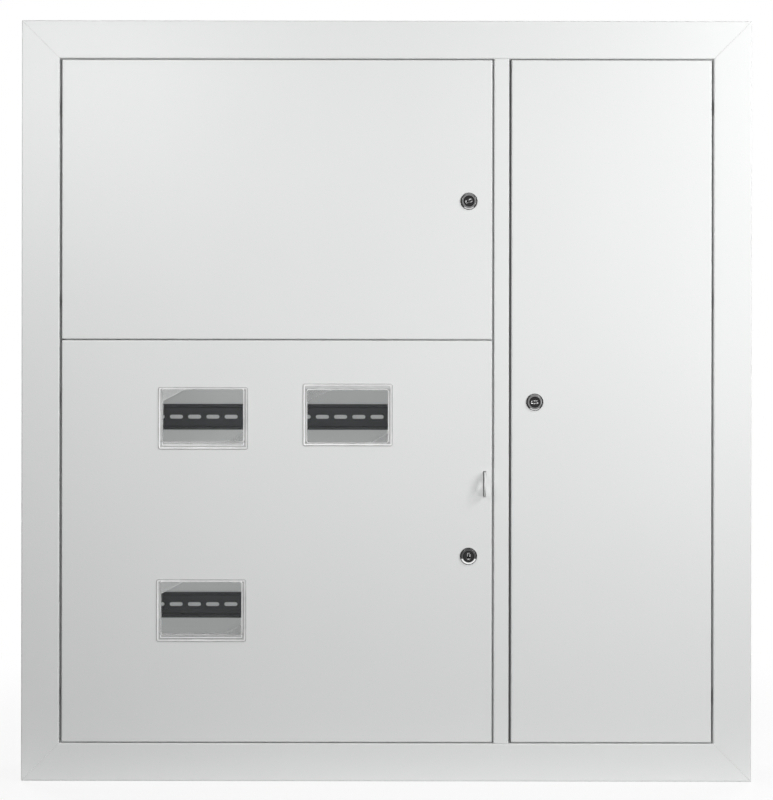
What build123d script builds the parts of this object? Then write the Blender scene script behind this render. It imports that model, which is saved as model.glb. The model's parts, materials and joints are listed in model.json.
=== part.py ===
from build123d import *
from dataclasses import dataclass
from math import floor, hypot

# Floor distribution board, set flush in a wall niche: a folded casing behind a mitred trim frame, three
# doors on concealed hinges with cam locks, reading windows, mounting rails and terminal bars. Millimetres.
# The origin is the centre of the casing's back face. Seen from the front, +X is to the right, +Y into the
# wall and +Z up. A depth counts from the front face of the trim into the wall. Heights and places across
# count from the origin.

# Overall size
board_width = 960.0
board_height = 1000.0
board_depth = 150.0
trim_face = 50.0

# Sheet metal
casing_sheet = 1.2
trim_sheet = 1.5
post_sheet = 1.5
door_sheet = 1.2
partition_sheet = 1.2
bend_radius = 2.0
seat_gap = 0.3

# Trim frame, post and cross rail
trim_return = 12.0
lip_width = 12.0
mitre_gap = 0.2
post_width = 20.0
side_bay = 279.0
post_lip = 15.0
cross_rail_height = 40.0
cross_rail_leg = 12.0
stop_gap = 1.0

# Doors
door_return = 16.0
door_corner = 1.0
left_lock_gap = 2.3
side_lock_gap = 3.0
head_gap = 1.5
foot_gap = 1.3
split_gap = 1.3
split_drop = 369.8

# Hinges, with the axis inside the door edge and behind the door face
hinge_inset = 16.0
hinge_setback = 8.5
left_swing_room = 0.9
side_swing_room = 0.5
back_swing_room = 1.9
knuckle_radius = 4.5
knuckle_height = 16.0
pin_radius = 2.5
pin_head_radius = 4.0
pin_head = 1.5
pin_fit = 0.02
pin_clearance = 0.05
hinge_lug_sheet = 4.0
hinge_lug_neck = 4.5
hinge_lug_tail = 4.0
neck_offset = 1.5
hinge_bracket_sheet = 2.0
hinge_bracket_reach = 18.0
hinge_bracket_end = 5.0
hinge_notch = 20.0
upper_hinge_drop = 62.0
upper_hinge_rise = 50.0
lower_hinge_drop = 78.0
lower_hinge_rise = 60.0

# Cam locks
lock_inset = 30.7
upper_lock_drop = 2.1
lower_lock_drop = 19.2
side_lock_drop = 1.2
bezel_radius = 11.25
bezel_height = 2.8
bezel_bevel = 2.0
bezel_edge = 0.9
lock_body_radius = 8.9
lock_flats = 15.8
lock_fit = 0.2
lock_nut_flats = 24.0
lock_nut_height = 4.0
thread_fit = 0.1
plug_radius = 7.0
plug_recess = 0.6
plug_edge = 0.4
key_slot_length = 6.4
key_slot_width = 1.6
key_slot_depth = 9.0
key_dish = 1.8
upper_key_angle = 20.0
lower_key_angle = 82.0
side_key_angle = 0.0
plug_square = 7.0
cam_sheet = 2.0
cam_width = 16.0
cam_reach = 30.0
cam_corner = 3.0
cam_gap = 0.6
cam_screw_radius = 1.7
cam_screw_length = 8.0
cam_screw_head_radius = 4.0
cam_screw_head = 2.4

# Reading windows
window_width = 118.0
window_height = 82.0
window_corner = 4.0
window_rim = 1.3
window_rim_chamfer = 0.6
window_rise = 3.6
window_slope = 1.5
window_pane_width = 106.0
window_pane_height = 68.5
window_pane_sheet = 1.8
window_wall = 1.6
window_skirt = 6.0
window_fit = 0.3
window_bead_length = 12.0
window_bead = 0.8
window_bead_spacing = 60.0
window_gusset_width = 27.0
window_gusset_height = 16.0
window_gusset = 0.4
upper_left_window_inset = 186.0
upper_left_window_drop = 1.1
upper_right_window_inset = 376.0
upper_right_window_rise = 3.6
lower_window_inset = 184.0
lower_window_rise = 3.1
left_field_rise = 3.8
right_field_drop = 1.6

# Sealing lug
lug_sheet = 1.8
lug_height = 32.8
lug_inset = 9.6
lug_drop = 188.7
lug_reach = 16.3
lug_hole_radius = 5.5
lug_hole_web = 3.4
lug_slot_side = 1.1
lug_slot_end = 1.0
rivet_radius = 1.6
rivet_head_radius = 2.8
rivet_head = 1.0
rivet_spacing = 20.0
rivet_fit = 0.05

# Mounting rails
rail_height = 35.0
rail_web_height = 27.0
rail_deep = 7.5
rail_sheet = 1.0
rail_bend = 1.4
rail_end = 20.0
rail_front = 77.0
rail_margin = 40.0
rail_shift = 1.8
breaker_rail_drop = 150.0
meter_rail_upper_drop = 102.1
meter_rail_lower_drop = 358.9
slot_pitch = 25.0
slot_length = 18.0
slot_width = 5.4
bracket_sheet = 2.0
bracket_height = 42.0
bracket_foot = 15.0
bracket_width = 30.0
bracket_share = 0.9

# Partitions
partition_flange = 15.0
shelf_lip = 12.0
cable_slot_width = 60.0
cable_slot_height = 30.0
cable_slot_inset = 40.0
cable_slot_corner = 2.0

# Terminal bars
bar_length = 140.0
bar_height = 10.0
bar_deep = 9.0
bar_rise = 80.0
neutral_bar_inset = 160.0
earth_bar_inset = 171.0
terminal_count = 9
terminal_pitch = 11.0
terminal_hole_radius = 2.4
terminal_screw_radius = 2.0
terminal_screw_tip = 1.2
terminal_head_radius = 3.4
terminal_head = 2.2
driver_slot = 0.8
insulator_width = 16.0
insulator_height = 20.0
insulator_deep = 22.0
insulator_chamfer = 2.0
insulator_end = 8.0

# Fixings
screw_fit = 0.1
frame_screw_radius = 2.0
frame_screw_head_radius = 3.8
frame_screw_head = 2.2
frame_screw_length = 10.0
frame_screw_inset_across = 160.0
frame_screw_inset_up = 180.0
fixing_screw_radius = 2.4
fixing_head_radius = 4.4
fixing_head = 2.6
fixing_length = 9.0

# Low-current compartment
plate_margin_across = 39.5
plate_margin_up = 100.0
plate_sheet = 1.5
plate_corner = 6.0
plate_depth = 120.0
plate_edge = 14.0
plate_slot_length = 24.0
plate_slot_width = 6.0
plate_slot_pitch = 90.0
plate_slot_columns = 3
plate_slot_column_pitch = 50.0
standoff_radius = 6.0

# Earthing, wall anchors and knock-outs
earth_stud_radius = 4.0
earth_stud_length = 25.0
earth_stud_chamfer = 0.8
earth_stud_inset = 45.0
earth_stud_rise = 120.0
earth_washer_radius = 8.0
earth_washer_sheet = 1.6
earth_nut_flats = 13.0
earth_nut_height = 6.5
anchor_hole_radius = 5.0
anchor_inset_across = 90.3
anchor_inset_up = 50.3
knockout_radius = 16.0
knockout_groove = 1.0
knockout_groove_depth = 0.6
knockout_count = 6
knockout_pitch = 130.0

# Worked out from the sizes above
opening_width = board_width - 2 * trim_face
opening_height = board_height - 2 * trim_face
half_width = opening_width / 2
half_height = opening_height / 2
edge_swing = hypot(hinge_inset, hinge_setback)
return_swing = hypot(hinge_inset, door_return - hinge_setback)
lip_front = hinge_setback + max(edge_swing, return_swing) + back_swing_room + hinge_lug_tail
jamb_depth = lip_front + trim_sheet
left_hinge_gap = edge_swing - hinge_inset + left_swing_room
side_hinge_gap = edge_swing - hinge_inset + side_swing_room
casing_width = opening_width + 2 * trim_sheet
casing_height = opening_height + 2 * trim_sheet
inner_width = casing_width - 2 * casing_sheet
inner_height = casing_height - 2 * casing_sheet
mouth_width = opening_width - 2 * lip_width
mouth_height = opening_height - 2 * lip_width
back_wall = board_depth - casing_sheet
fold_gap = bend_radius - casing_sheet + seat_gap
behind_mouth = jamb_depth + casing_sheet + stop_gap
post_centre = half_width - side_bay
post_left = post_centre - post_width / 2
post_right = post_centre + post_width / 2
post_leg = door_return + stop_gap
cam_depth = post_leg + post_sheet + cam_gap
lock_rear = cam_depth - seat_gap
hinge_axis_y = hinge_setback - board_depth
split_height = half_height - split_drop
left_bay = post_centre + inner_width / 2
left_bay_centre = post_centre - left_bay / 2
rail_back = rail_front + rail_deep
rail_length = left_bay - 2 * rail_margin
rail_centre = left_bay_centre + rail_shift
half_slots = floor((rail_length / 2 - rail_end) / slot_pitch)
bracket_shift = floor(half_slots * bracket_share) * slot_pitch
bar_back = back_wall - insulator_deep
bar_front = bar_back - bar_deep
bar_hold = bar_length / 2 - insulator_end
terminal_screw_length = bar_deep / 2 - terminal_hole_radius + terminal_screw_tip
neutral_bar_centre = (neutral_bar_inset - inner_width / 2, split_height + bar_rise)
earth_bar_centre = (post_centre - earth_bar_inset, split_height + bar_rise)
plate_width = side_bay - 2 * plate_margin_across
plate_height = opening_height - 2 * plate_margin_up
plate_centre = half_width - side_bay / 2
plate_hold_width = plate_width - 2 * plate_edge
plate_hold_height = plate_height - 2 * plate_edge
frame_screw_across = half_width - frame_screw_inset_across
frame_screw_up = half_height - frame_screw_inset_up
frame_screw_side = half_width - lip_width / 2
frame_screw_top = half_height - lip_width / 2
anchor_spacing_across = inner_width - 2 * anchor_inset_across
anchor_spacing_up = inner_height - 2 * anchor_inset_up
earth_stud_place = (earth_stud_inset - inner_width / 2, earth_stud_rise - inner_height / 2)
skirt_width = window_pane_width + 2 * window_slope
skirt_height = window_pane_height + 2 * window_slope


@dataclass
class Door:
    """One door: its edges, the side that it hinges on (-1 left, +1 right), its hinges and its lock."""

    name: str
    left: float
    right: float
    bottom: float
    top: float
    hinge_side: int
    hinge_heights: tuple
    hinge_gap: float
    lock_drop: float
    key_angle: float

    @property
    def hinge_edge(self):
        """Place across of the edge on the hinge side."""
        return self.right if self.hinge_side > 0 else self.left

    @property
    def lock_edge(self):
        """Place across of the edge on the lock side."""
        return self.left if self.hinge_side > 0 else self.right

    @property
    def axis_x(self):
        """Place across of the hinge axis."""
        return self.hinge_edge - self.hinge_side * hinge_inset

    @property
    def lock_x(self):
        """Place across of the lock."""
        return self.lock_edge + self.hinge_side * lock_inset

    @property
    def centre(self):
        """Middle of the door face."""
        return ((self.left + self.right) / 2, (self.bottom + self.top) / 2)

    @property
    def lock_height(self):
        """Height of the lock, a little under the middle of the door."""
        return self.centre[1] - self.lock_drop

    def hinge_plane(self, height):
        """Level plane at a hinge: local x runs to the hinge side, local y into the wall."""
        return Plane(
            (self.axis_x, hinge_axis_y, height),
            x_dir=(self.hinge_side, 0, 0),
            z_dir=(0, 0, self.hinge_side),
        )


left_edge = left_hinge_gap - half_width
head_edge = half_height - head_gap
foot_edge = foot_gap - half_height
upper_foot = split_height + split_gap / 2
lower_head = split_height - split_gap / 2
upper_hinges = (head_edge - upper_hinge_drop, upper_foot + upper_hinge_rise)
lower_hinges = (lower_head - lower_hinge_drop, foot_edge + lower_hinge_rise)

upper_door = Door(
    name="upper",
    left=left_edge,
    right=post_left - left_lock_gap,
    bottom=upper_foot,
    top=head_edge,
    hinge_side=-1,
    hinge_heights=upper_hinges,
    hinge_gap=left_hinge_gap,
    lock_drop=upper_lock_drop,
    key_angle=upper_key_angle,
)
lower_door = Door(
    name="lower",
    left=left_edge,
    right=post_left - left_lock_gap,
    bottom=foot_edge,
    top=lower_head,
    hinge_side=-1,
    hinge_heights=lower_hinges,
    hinge_gap=left_hinge_gap,
    lock_drop=lower_lock_drop,
    key_angle=lower_key_angle,
)
side_door = Door(
    name="side",
    left=post_right + side_lock_gap,
    right=half_width - side_hinge_gap,
    bottom=foot_edge,
    top=head_edge,
    hinge_side=1,
    hinge_heights=(*upper_hinges, lower_hinges[1]),
    hinge_gap=side_hinge_gap,
    lock_drop=side_lock_drop,
    key_angle=side_key_angle,
)
doors = (upper_door, lower_door, side_door)
lug_x = lower_door.right - lug_inset
lug_centre_height = lower_door.top - lug_drop
lug_foot_end = lower_door.right - door_sheet - stop_gap
upper_meter_level = split_height - meter_rail_upper_drop
lower_meter_level = split_height - meter_rail_lower_drop
rail_heights = {
    "breaker_rail": half_height - breaker_rail_drop,
    "meter_rail_upper": upper_meter_level,
    "meter_rail_lower": lower_meter_level,
}
upper_left_window_level = upper_meter_level - upper_left_window_drop
upper_right_window_level = upper_meter_level + upper_right_window_rise
lower_window_level = lower_meter_level + lower_window_rise
window_places = {
    "window_upper_left": (left_edge + upper_left_window_inset, upper_left_window_level),
    "window_upper_right": (left_edge + upper_right_window_inset, upper_right_window_level),
    "window_lower": (left_edge + lower_window_inset, lower_window_level),
}
field_rises = {
    "window_upper_left": left_field_rise,
    "window_upper_right": -right_field_drop,
    "window_lower": left_field_rise,
}
field_places = {name: (across, level + field_rises[name]) for name, (across, level) in window_places.items()}
rail_hold_places = []
for rail_level in rail_heights.values():
    rail_hold_places.append((rail_centre - bracket_shift, rail_level))
    rail_hold_places.append((rail_centre + bracket_shift, rail_level))

# Plan view: local x across, local y the depth. Side view: local x the depth, local y the height.
plan_view = Plane((0, -board_depth, 0), x_dir=(1, 0, 0), z_dir=(0, 0, 1))
side_view = Plane((0, -board_depth, 0), x_dir=(0, 1, 0), z_dir=(1, 0, 0))


def at_depth(depth):
    """Upright plane that faces the front, at a depth."""
    return Plane.XZ.offset(board_depth - depth)


def side_view_at(across):
    """Side view plane at a place across."""
    return side_view.offset(across)


def save(builder, name):
    """Labels a finished piece and writes it."""
    builder.part.label = name
    export_step(builder.part, f"parts/{name}.step")


def pan_head_screws(name, places, seat, head_radius, head, radius, length):
    """Writes a group of slotted screws whose heads sit on the surface at a depth."""
    with BuildPart() as screws:
        with BuildSketch(at_depth(seat)):
            with Locations(*places):
                Circle(head_radius)
        extrude(amount=head)
        with BuildSketch(at_depth(seat)):
            with Locations(*places):
                Circle(radius)
        extrude(amount=-length)
        with BuildSketch(at_depth(seat - head)):
            with Locations(*places):
                Rectangle(2 * head_radius, driver_slot)
        extrude(amount=-head / 2, mode=Mode.SUBTRACT)
    save(screws, name)


# Casing: a folded tub with an inward flange round its mouth
with BuildPart() as casing_cavity:
    with BuildSketch(at_depth(back_wall)):
        Rectangle(inner_width, inner_height)
    extrude(amount=back_wall - jamb_depth - casing_sheet)
    fillet(casing_cavity.edges(), radius=bend_radius - casing_sheet)

with BuildPart() as casing:
    with BuildSketch(at_depth(board_depth)):
        Rectangle(casing_width, casing_height)
    extrude(amount=board_depth - jamb_depth)
    fillet(casing.edges(), radius=bend_radius)
    add(casing_cavity.part, mode=Mode.SUBTRACT)
    with BuildSketch(at_depth(jamb_depth)):
        Rectangle(mouth_width, mouth_height)
        with Locations((-frame_screw_side, 0), (frame_screw_side, 0)):
            with GridLocations(0, 2 * frame_screw_up, 1, 2):
                Circle(frame_screw_radius + screw_fit)
        with Locations((0, -frame_screw_top), (0, frame_screw_top)):
            with GridLocations(2 * frame_screw_across, 0, 2, 1):
                Circle(frame_screw_radius + screw_fit)
    extrude(amount=-casing_sheet, mode=Mode.SUBTRACT)
    with BuildSketch(at_depth(board_depth)):
        with GridLocations(anchor_spacing_across, anchor_spacing_up, 2, 2):
            Circle(anchor_hole_radius)
    extrude(amount=casing_sheet, mode=Mode.SUBTRACT)
    for wall in (1, -1):
        outside = Plane((0, (jamb_depth - board_depth) / 2, wall * casing_height / 2), z_dir=(0, 0, wall))
        with BuildSketch(outside):
            with GridLocations(knockout_pitch, 0, knockout_count, 1):
                Circle(knockout_radius + knockout_groove)
                Circle(knockout_radius, mode=Mode.SUBTRACT)
        extrude(amount=-knockout_groove_depth, mode=Mode.SUBTRACT)
save(casing, "casing")


def trim_strip(name, outward, half_across, half_along, screw_places):
    """Writes one mitred strip of the trim: outer return, face, jamb and lip folded from one sheet."""
    along = outward.cross(Vector(0, 1, 0))
    section = Plane((0, -board_depth, 0), x_dir=outward, z_dir=along)
    with BuildPart() as strip:
        with BuildSketch(section):
            with BuildLine():
                FilletPolyline(
                    (half_across + trim_face, trim_return),
                    (half_across + trim_face, 0),
                    (half_across, 0),
                    (half_across, lip_front),
                    (half_across - lip_width, lip_front),
                    radius=bend_radius,
                )
                offset(amount=trim_sheet, side=Side.RIGHT)
            make_face()
        extrude(amount=half_along + trim_face, both=True)
        for end in (1, -1):
            corner = outward * half_across + along * end * half_along
            cut_normal = (along * end - outward).normalized()
            cut_point = corner - cut_normal * mitre_gap / 2
            split(bisect_by=Plane(cut_point, z_dir=cut_normal), keep=Keep.BOTTOM)
        with BuildSketch(at_depth(jamb_depth)):
            with Locations(*screw_places):
                Circle(frame_screw_radius + screw_fit)
        extrude(amount=trim_sheet, mode=Mode.SUBTRACT)
    save(strip, name)


right_screws = [(frame_screw_side, frame_screw_up), (frame_screw_side, -frame_screw_up)]
left_screws = [(-frame_screw_side, frame_screw_up), (-frame_screw_side, -frame_screw_up)]
top_screws = [(frame_screw_across, frame_screw_top), (-frame_screw_across, frame_screw_top)]
bottom_screws = [(frame_screw_across, -frame_screw_top), (-frame_screw_across, -frame_screw_top)]
trim_strip("trim_right", Vector(1, 0, 0), half_width, half_height, right_screws)
trim_strip("trim_left", Vector(-1, 0, 0), half_width, half_height, left_screws)
trim_strip("trim_top", Vector(0, 0, 1), half_height, half_width, top_screws)
trim_strip("trim_bottom", Vector(0, 0, -1), half_height, half_width, bottom_screws)
pan_head_screws(
    "frame_screws",
    right_screws + left_screws + top_screws + bottom_screws,
    lip_front,
    frame_screw_head_radius,
    frame_screw_head,
    frame_screw_radius,
    frame_screw_length,
)

# Centre post: a hat section whose lips stop the doors and hold the cams
with BuildPart() as centre_post:
    with BuildSketch(plan_view):
        with BuildLine():
            FilletPolyline(
                (post_left - post_lip, post_leg),
                (post_left, post_leg),
                (post_left, 0),
                (post_right, 0),
                (post_right, post_leg),
                (post_right + post_lip, post_leg),
                radius=bend_radius,
            )
            offset(amount=post_sheet, side=Side.LEFT)
        make_face()
    extrude(amount=half_height - seat_gap, both=True)
    with BuildSketch(at_depth(post_leg)):
        with Locations(((lug_x + lug_foot_end) / 2, lug_centre_height)):
            with GridLocations(0, rivet_spacing, 1, 2):
                Circle(rivet_radius + rivet_fit)
    extrude(amount=-post_sheet, mode=Mode.SUBTRACT)
save(centre_post, "centre_post")

# Cross rail behind the split between the left doors, its web lapped on the frame lip and the side partition
rail_left_end = bend_radius + seat_gap - half_width
rail_right_end = post_centre - stop_gap
leg_left_end = stop_gap - mouth_width / 2
leg_right_end = post_centre - partition_flange - stop_gap
with BuildPart() as cross_rail:
    with BuildSketch(side_view_at(rail_left_end)):
        with BuildLine():
            FilletPolyline(
                (lip_front + cross_rail_leg, split_height + cross_rail_height / 2),
                (lip_front - post_sheet, split_height + cross_rail_height / 2),
                (lip_front - post_sheet, split_height - cross_rail_height / 2),
                (lip_front + cross_rail_leg, split_height - cross_rail_height / 2),
                radius=bend_radius,
            )
            offset(amount=post_sheet, side=Side.LEFT)
        make_face()
    extrude(amount=rail_right_end - rail_left_end)
    with BuildSketch(at_depth(lip_front)):
        with Locations(((rail_left_end + leg_left_end) / 2, split_height)):
            Rectangle(leg_left_end - rail_left_end, cross_rail_height)
        with Locations(((rail_right_end + leg_right_end) / 2, split_height)):
            Rectangle(rail_right_end - leg_right_end, cross_rail_height)
    extrude(amount=-cross_rail_leg, mode=Mode.SUBTRACT)
save(cross_rail, "cross_rail")

# Side partition behind the post, unbroken: back flange to the right, front flange to the left
with BuildPart() as side_partition:
    with BuildSketch(plan_view):
        with BuildLine():
            FilletPolyline(
                (post_centre + partition_flange, back_wall),
                (post_centre, back_wall),
                (post_centre, lip_front + partition_sheet),
                (post_centre - partition_flange, lip_front + partition_sheet),
                radius=bend_radius,
            )
            offset(amount=partition_sheet, side=Side.LEFT)
        make_face()
    extrude(amount=inner_height / 2 - fold_gap, both=True)
    corner_height = (inner_height - mouth_height) / 2 + stop_gap
    with BuildSketch(at_depth(behind_mouth)):
        with Locations((post_centre, 0)):
            with GridLocations(0, inner_height - corner_height, 1, 2):
                Rectangle(2 * partition_flange, corner_height)
    extrude(amount=behind_mouth - lip_front + bend_radius, mode=Mode.SUBTRACT)
save(side_partition, "side_partition")

# Shelf partition between the two left compartments
shelf_left_end = fold_gap - inner_width / 2
shelf_right_end = post_centre - seat_gap
with BuildPart() as shelf_partition:
    with BuildSketch(side_view_at(shelf_left_end)):
        with BuildLine():
            FilletPolyline(
                (back_wall, split_height + partition_flange),
                (back_wall, split_height),
                (behind_mouth, split_height),
                (behind_mouth, split_height + shelf_lip),
                radius=bend_radius,
            )
            offset(amount=partition_sheet, side=Side.RIGHT)
        make_face()
    extrude(amount=shelf_right_end - shelf_left_end)
    with BuildSketch(plan_view.offset(split_height)):
        with Locations((rail_centre, back_wall - cable_slot_inset)):
            with GridLocations(2 * bracket_shift, 0, 2, 1):
                RectangleRounded(cable_slot_width, cable_slot_height, cable_slot_corner)
    extrude(amount=partition_sheet, mode=Mode.SUBTRACT)
save(shelf_partition, "shelf_partition")


def door_panel(door, window_cuts=(), lug_cuts=()):
    """Writes a door pan: face and four returns folded from one sheet, with its notches and cut-outs."""
    with BuildPart() as pocket:
        with BuildSketch(at_depth(door_return)):
            with Locations(door.centre):
                Rectangle(door.right - door.left - 2 * door_sheet, door.top - door.bottom - 2 * door_sheet)
        extrude(amount=door_return - door_sheet)
        fillet(pocket.faces().sort_by(Axis.Y)[0].edges(), radius=bend_radius - door_sheet)
    with BuildPart() as panel:
        with BuildSketch(at_depth(door_return)):
            with Locations(door.centre):
                Rectangle(door.right - door.left, door.top - door.bottom)
        extrude(amount=door_return)
        fillet(panel.edges().filter_by(Axis.Y), radius=door_corner)
        fillet(panel.faces().sort_by(Axis.Y)[0].edges(), radius=bend_radius)
        add(pocket.part, mode=Mode.SUBTRACT)
        with BuildSketch(at_depth(door_return)):
            for height in door.hinge_heights:
                with Locations((door.hinge_edge, height)):
                    Rectangle(2 * (door_sheet + stop_gap), hinge_notch)
        extrude(amount=door_return - door_sheet, mode=Mode.SUBTRACT)
        with BuildSketch(at_depth(door_sheet)):
            with Locations((door.lock_x, door.lock_height)):
                Circle(lock_body_radius + lock_fit)
                Rectangle(lock_flats + 2 * lock_fit, 2 * bezel_radius, mode=Mode.INTERSECT)
            for place in window_cuts:
                with Locations(place):
                    Rectangle(skirt_width + 2 * window_fit, skirt_height + 2 * window_fit)
            for place in lug_cuts:
                with Locations(place):
                    Rectangle(lug_sheet + 2 * lug_slot_side, lug_height + 2 * lug_slot_end)
        extrude(amount=door_sheet, mode=Mode.SUBTRACT)
    save(panel, f"{door.name}_door_panel")


door_panel(upper_door)
door_panel(lower_door, window_cuts=field_places.values(), lug_cuts=[(lug_x, lug_centre_height)])
door_panel(side_door)


# Hinges
hinge_height = knuckle_height + 2 * (hinge_bracket_sheet + seat_gap)
arm_shift = (knuckle_height + hinge_bracket_sheet) / 2 + seat_gap
web_front = door_sheet - hinge_setback
web_centre = ((hinge_bracket_end - hinge_bracket_reach) / 2, web_front + hinge_bracket_sheet / 2)
lip_face = lip_front - hinge_setback

with BuildPart() as frame_hinge_lugs:
    for door in doors:
        tail_end = hinge_inset + door.hinge_gap - bend_radius
        for height in door.hinge_heights:
            level = door.hinge_plane(height)
            with BuildSketch(level):
                Circle(knuckle_radius)
            extrude(amount=knuckle_height / 2, both=True)
            with BuildSketch(level):
                with BuildLine():
                    Polyline(
                        (-neck_offset, 0),
                        (-neck_offset, lip_face - hinge_lug_tail),
                        (tail_end, lip_face - hinge_lug_tail),
                        (tail_end, lip_face),
                        (-neck_offset - hinge_lug_neck / 2, lip_face),
                        (-neck_offset - hinge_lug_neck, lip_face - hinge_lug_tail),
                        (-neck_offset - hinge_lug_neck / 2, 0),
                        close=True,
                    )
                make_face()
            extrude(amount=hinge_lug_sheet / 2, both=True)
            with BuildSketch(level):
                Circle(pin_radius + pin_fit)
            extrude(amount=knuckle_height, both=True, mode=Mode.SUBTRACT)
save(frame_hinge_lugs, "frame_hinge_lugs")

with BuildPart() as hinge_pins:
    for door in doors:
        for height in door.hinge_heights:
            foot = Plane((door.axis_x, hinge_axis_y, height - hinge_height / 2 - seat_gap))
            with BuildSketch(foot):
                Circle(pin_radius)
            extrude(amount=hinge_height + 2 * seat_gap)
            with BuildSketch(foot.offset(hinge_height + 2 * seat_gap)):
                Circle(pin_head_radius)
            extrude(amount=pin_head)
save(hinge_pins, "hinge_pins")


def door_hinges(door):
    """Writes a door's hinge brackets: a web behind the face with an eye above and below the frame lug."""
    with BuildPart() as brackets:
        for height in door.hinge_heights:
            level = door.hinge_plane(height)
            with BuildSketch(level):
                with Locations(web_centre):
                    Rectangle(hinge_bracket_reach + hinge_bracket_end, hinge_bracket_sheet)
            extrude(amount=hinge_height / 2, both=True)
            for shift in (arm_shift, -arm_shift):
                arm = door.hinge_plane(height + shift)
                with BuildSketch(arm):
                    Circle(knuckle_radius)
                    with Locations((0, web_front / 2)):
                        Rectangle(2 * knuckle_radius, -web_front)
                    Circle(pin_radius + pin_clearance, mode=Mode.SUBTRACT)
                extrude(amount=hinge_bracket_sheet / 2, both=True)
    save(brackets, f"{door.name}_door_hinges")


for door in doors:
    door_hinges(door)


def cam_lock(door):
    """Writes the pieces of a cam lock: housing, nut, plug, cam and cam screw, unlocked with the cam down."""
    place = (door.lock_x, door.lock_height)
    section = Plane((door.lock_x, -board_depth, door.lock_height), x_dir=(1, 0, 0), z_dir=(0, 0, 1))
    turn_axis = Axis((door.lock_x, -board_depth, door.lock_height), (0, 1, 0))
    bore_radius = plug_radius + pin_clearance
    with BuildPart() as housing:
        with BuildSketch(section):
            with BuildLine():
                Polyline(
                    (bore_radius, -bezel_height),
                    (bezel_radius - bezel_bevel, -bezel_height),
                    (bezel_radius, -bezel_edge),
                    (bezel_radius, 0),
                    (lock_body_radius, 0),
                    (lock_body_radius, lock_rear),
                    (bore_radius, lock_rear),
                    close=True,
                )
            make_face()
        revolve(axis=turn_axis)
        with BuildSketch(at_depth(lock_rear)):
            with Locations(place):
                Circle(bezel_radius)
                Rectangle(lock_flats, 2 * bezel_radius, mode=Mode.SUBTRACT)
        extrude(amount=lock_rear, mode=Mode.SUBTRACT)
    save(housing, f"{door.name}_lock_housing")

    with BuildPart() as nut:
        with BuildSketch(at_depth(door_sheet)):
            with Locations(place):
                RegularPolygon(lock_nut_flats / 2, 6, major_radius=False)
                Circle(lock_body_radius + thread_fit, mode=Mode.SUBTRACT)
        extrude(amount=-lock_nut_height)
    save(nut, f"{door.name}_lock_nut")

    with BuildPart() as plug:
        with BuildSketch(at_depth(cam_depth)):
            with Locations(place):
                Circle(plug_radius)
        extrude(amount=cam_depth + bezel_height - plug_recess)
        chamfer(plug.faces().sort_by(Axis.Y)[0].edges(), length=plug_edge)
        with BuildSketch(at_depth(cam_depth)):
            with Locations(place):
                Rectangle(plug_square, plug_square)
        extrude(amount=-cam_sheet + thread_fit)
        with BuildSketch(at_depth(plug_recess - bezel_height)):
            with Locations(place):
                SlotOverall(key_slot_length, key_slot_width, rotation=door.key_angle)
        extrude(amount=-key_slot_depth, mode=Mode.SUBTRACT)
        chamfer(plug.faces().sort_by(Axis.Y)[0].inner_wires().edges(), length=key_dish)
        with BuildSketch(at_depth(cam_depth + cam_sheet)):
            with Locations(place):
                Circle(cam_screw_radius + thread_fit)
        extrude(amount=cam_screw_length + seat_gap, mode=Mode.SUBTRACT)
    save(plug, f"{door.name}_lock_plug")

    with BuildPart() as cam:
        with BuildSketch(at_depth(cam_depth)):
            with Locations(place):
                Circle(cam_width / 2)
            with Locations((door.lock_x, door.lock_height - cam_reach / 2)):
                RectangleRounded(cam_width, cam_reach, cam_corner)
            with Locations(place):
                Rectangle(plug_square + 2 * thread_fit, plug_square + 2 * thread_fit, mode=Mode.SUBTRACT)
        extrude(amount=-cam_sheet)
    save(cam, f"{door.name}_lock_cam")

    pan_head_screws(
        f"{door.name}_cam_screw",
        [place],
        cam_depth + cam_sheet,
        cam_screw_head_radius,
        -cam_screw_head,
        cam_screw_radius,
        -cam_screw_length,
    )


for door in doors:
    cam_lock(door)


def reading_window(name, place, field):
    """Writes a clear window: rim on the door face, raised pane, skirt through the door and snap beads."""
    with BuildPart() as window:
        with BuildSketch(at_depth(0)):
            with Locations(place):
                RectangleRounded(window_width, window_height, window_corner)
        extrude(amount=window_rim)
        chamfer(window.faces().sort_by(Axis.Y)[0].edges(), length=window_rim_chamfer)
        with BuildSketch(at_depth(-window_rim)):
            with Locations(field):
                RectangleRounded(skirt_width, skirt_height, window_corner)
        with BuildSketch(at_depth(-window_rise)):
            with Locations(field):
                RectangleRounded(window_pane_width, window_pane_height, window_corner - window_slope)
        loft()
        with BuildSketch(at_depth(window_skirt)):
            with Locations(field):
                Rectangle(skirt_width, skirt_height)
        extrude(amount=window_skirt)
        with BuildSketch(at_depth(door_sheet + seat_gap)):
            with Locations(field):
                with GridLocations(window_bead_spacing, 0, 2, 1):
                    Rectangle(window_bead_length, skirt_height + 2 * window_bead)
        extrude(amount=-window_bead)
        with BuildSketch(at_depth(window_skirt)):
            with Locations(field):
                Rectangle(skirt_width - 2 * window_wall, skirt_height - 2 * window_wall)
        extrude(amount=window_skirt + window_rise - window_pane_sheet, mode=Mode.SUBTRACT)
        inner_corner_x = skirt_width / 2 - window_wall
        inner_corner_z = skirt_height / 2 - window_wall
        with BuildSketch(at_depth(window_pane_sheet - window_rise)):
            with Locations(field):
                for side in (1, -1):
                    Polygon(
                        (side * inner_corner_x, -side * inner_corner_z),
                        (side * (inner_corner_x - window_gusset_width), -side * inner_corner_z),
                        (side * inner_corner_x, -side * (inner_corner_z - window_gusset_height)),
                        align=None,
                    )
        extrude(amount=-window_gusset)
    save(window, name)


for window_name, window_place in window_places.items():
    reading_window(window_name, window_place, field_places[window_name])

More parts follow.
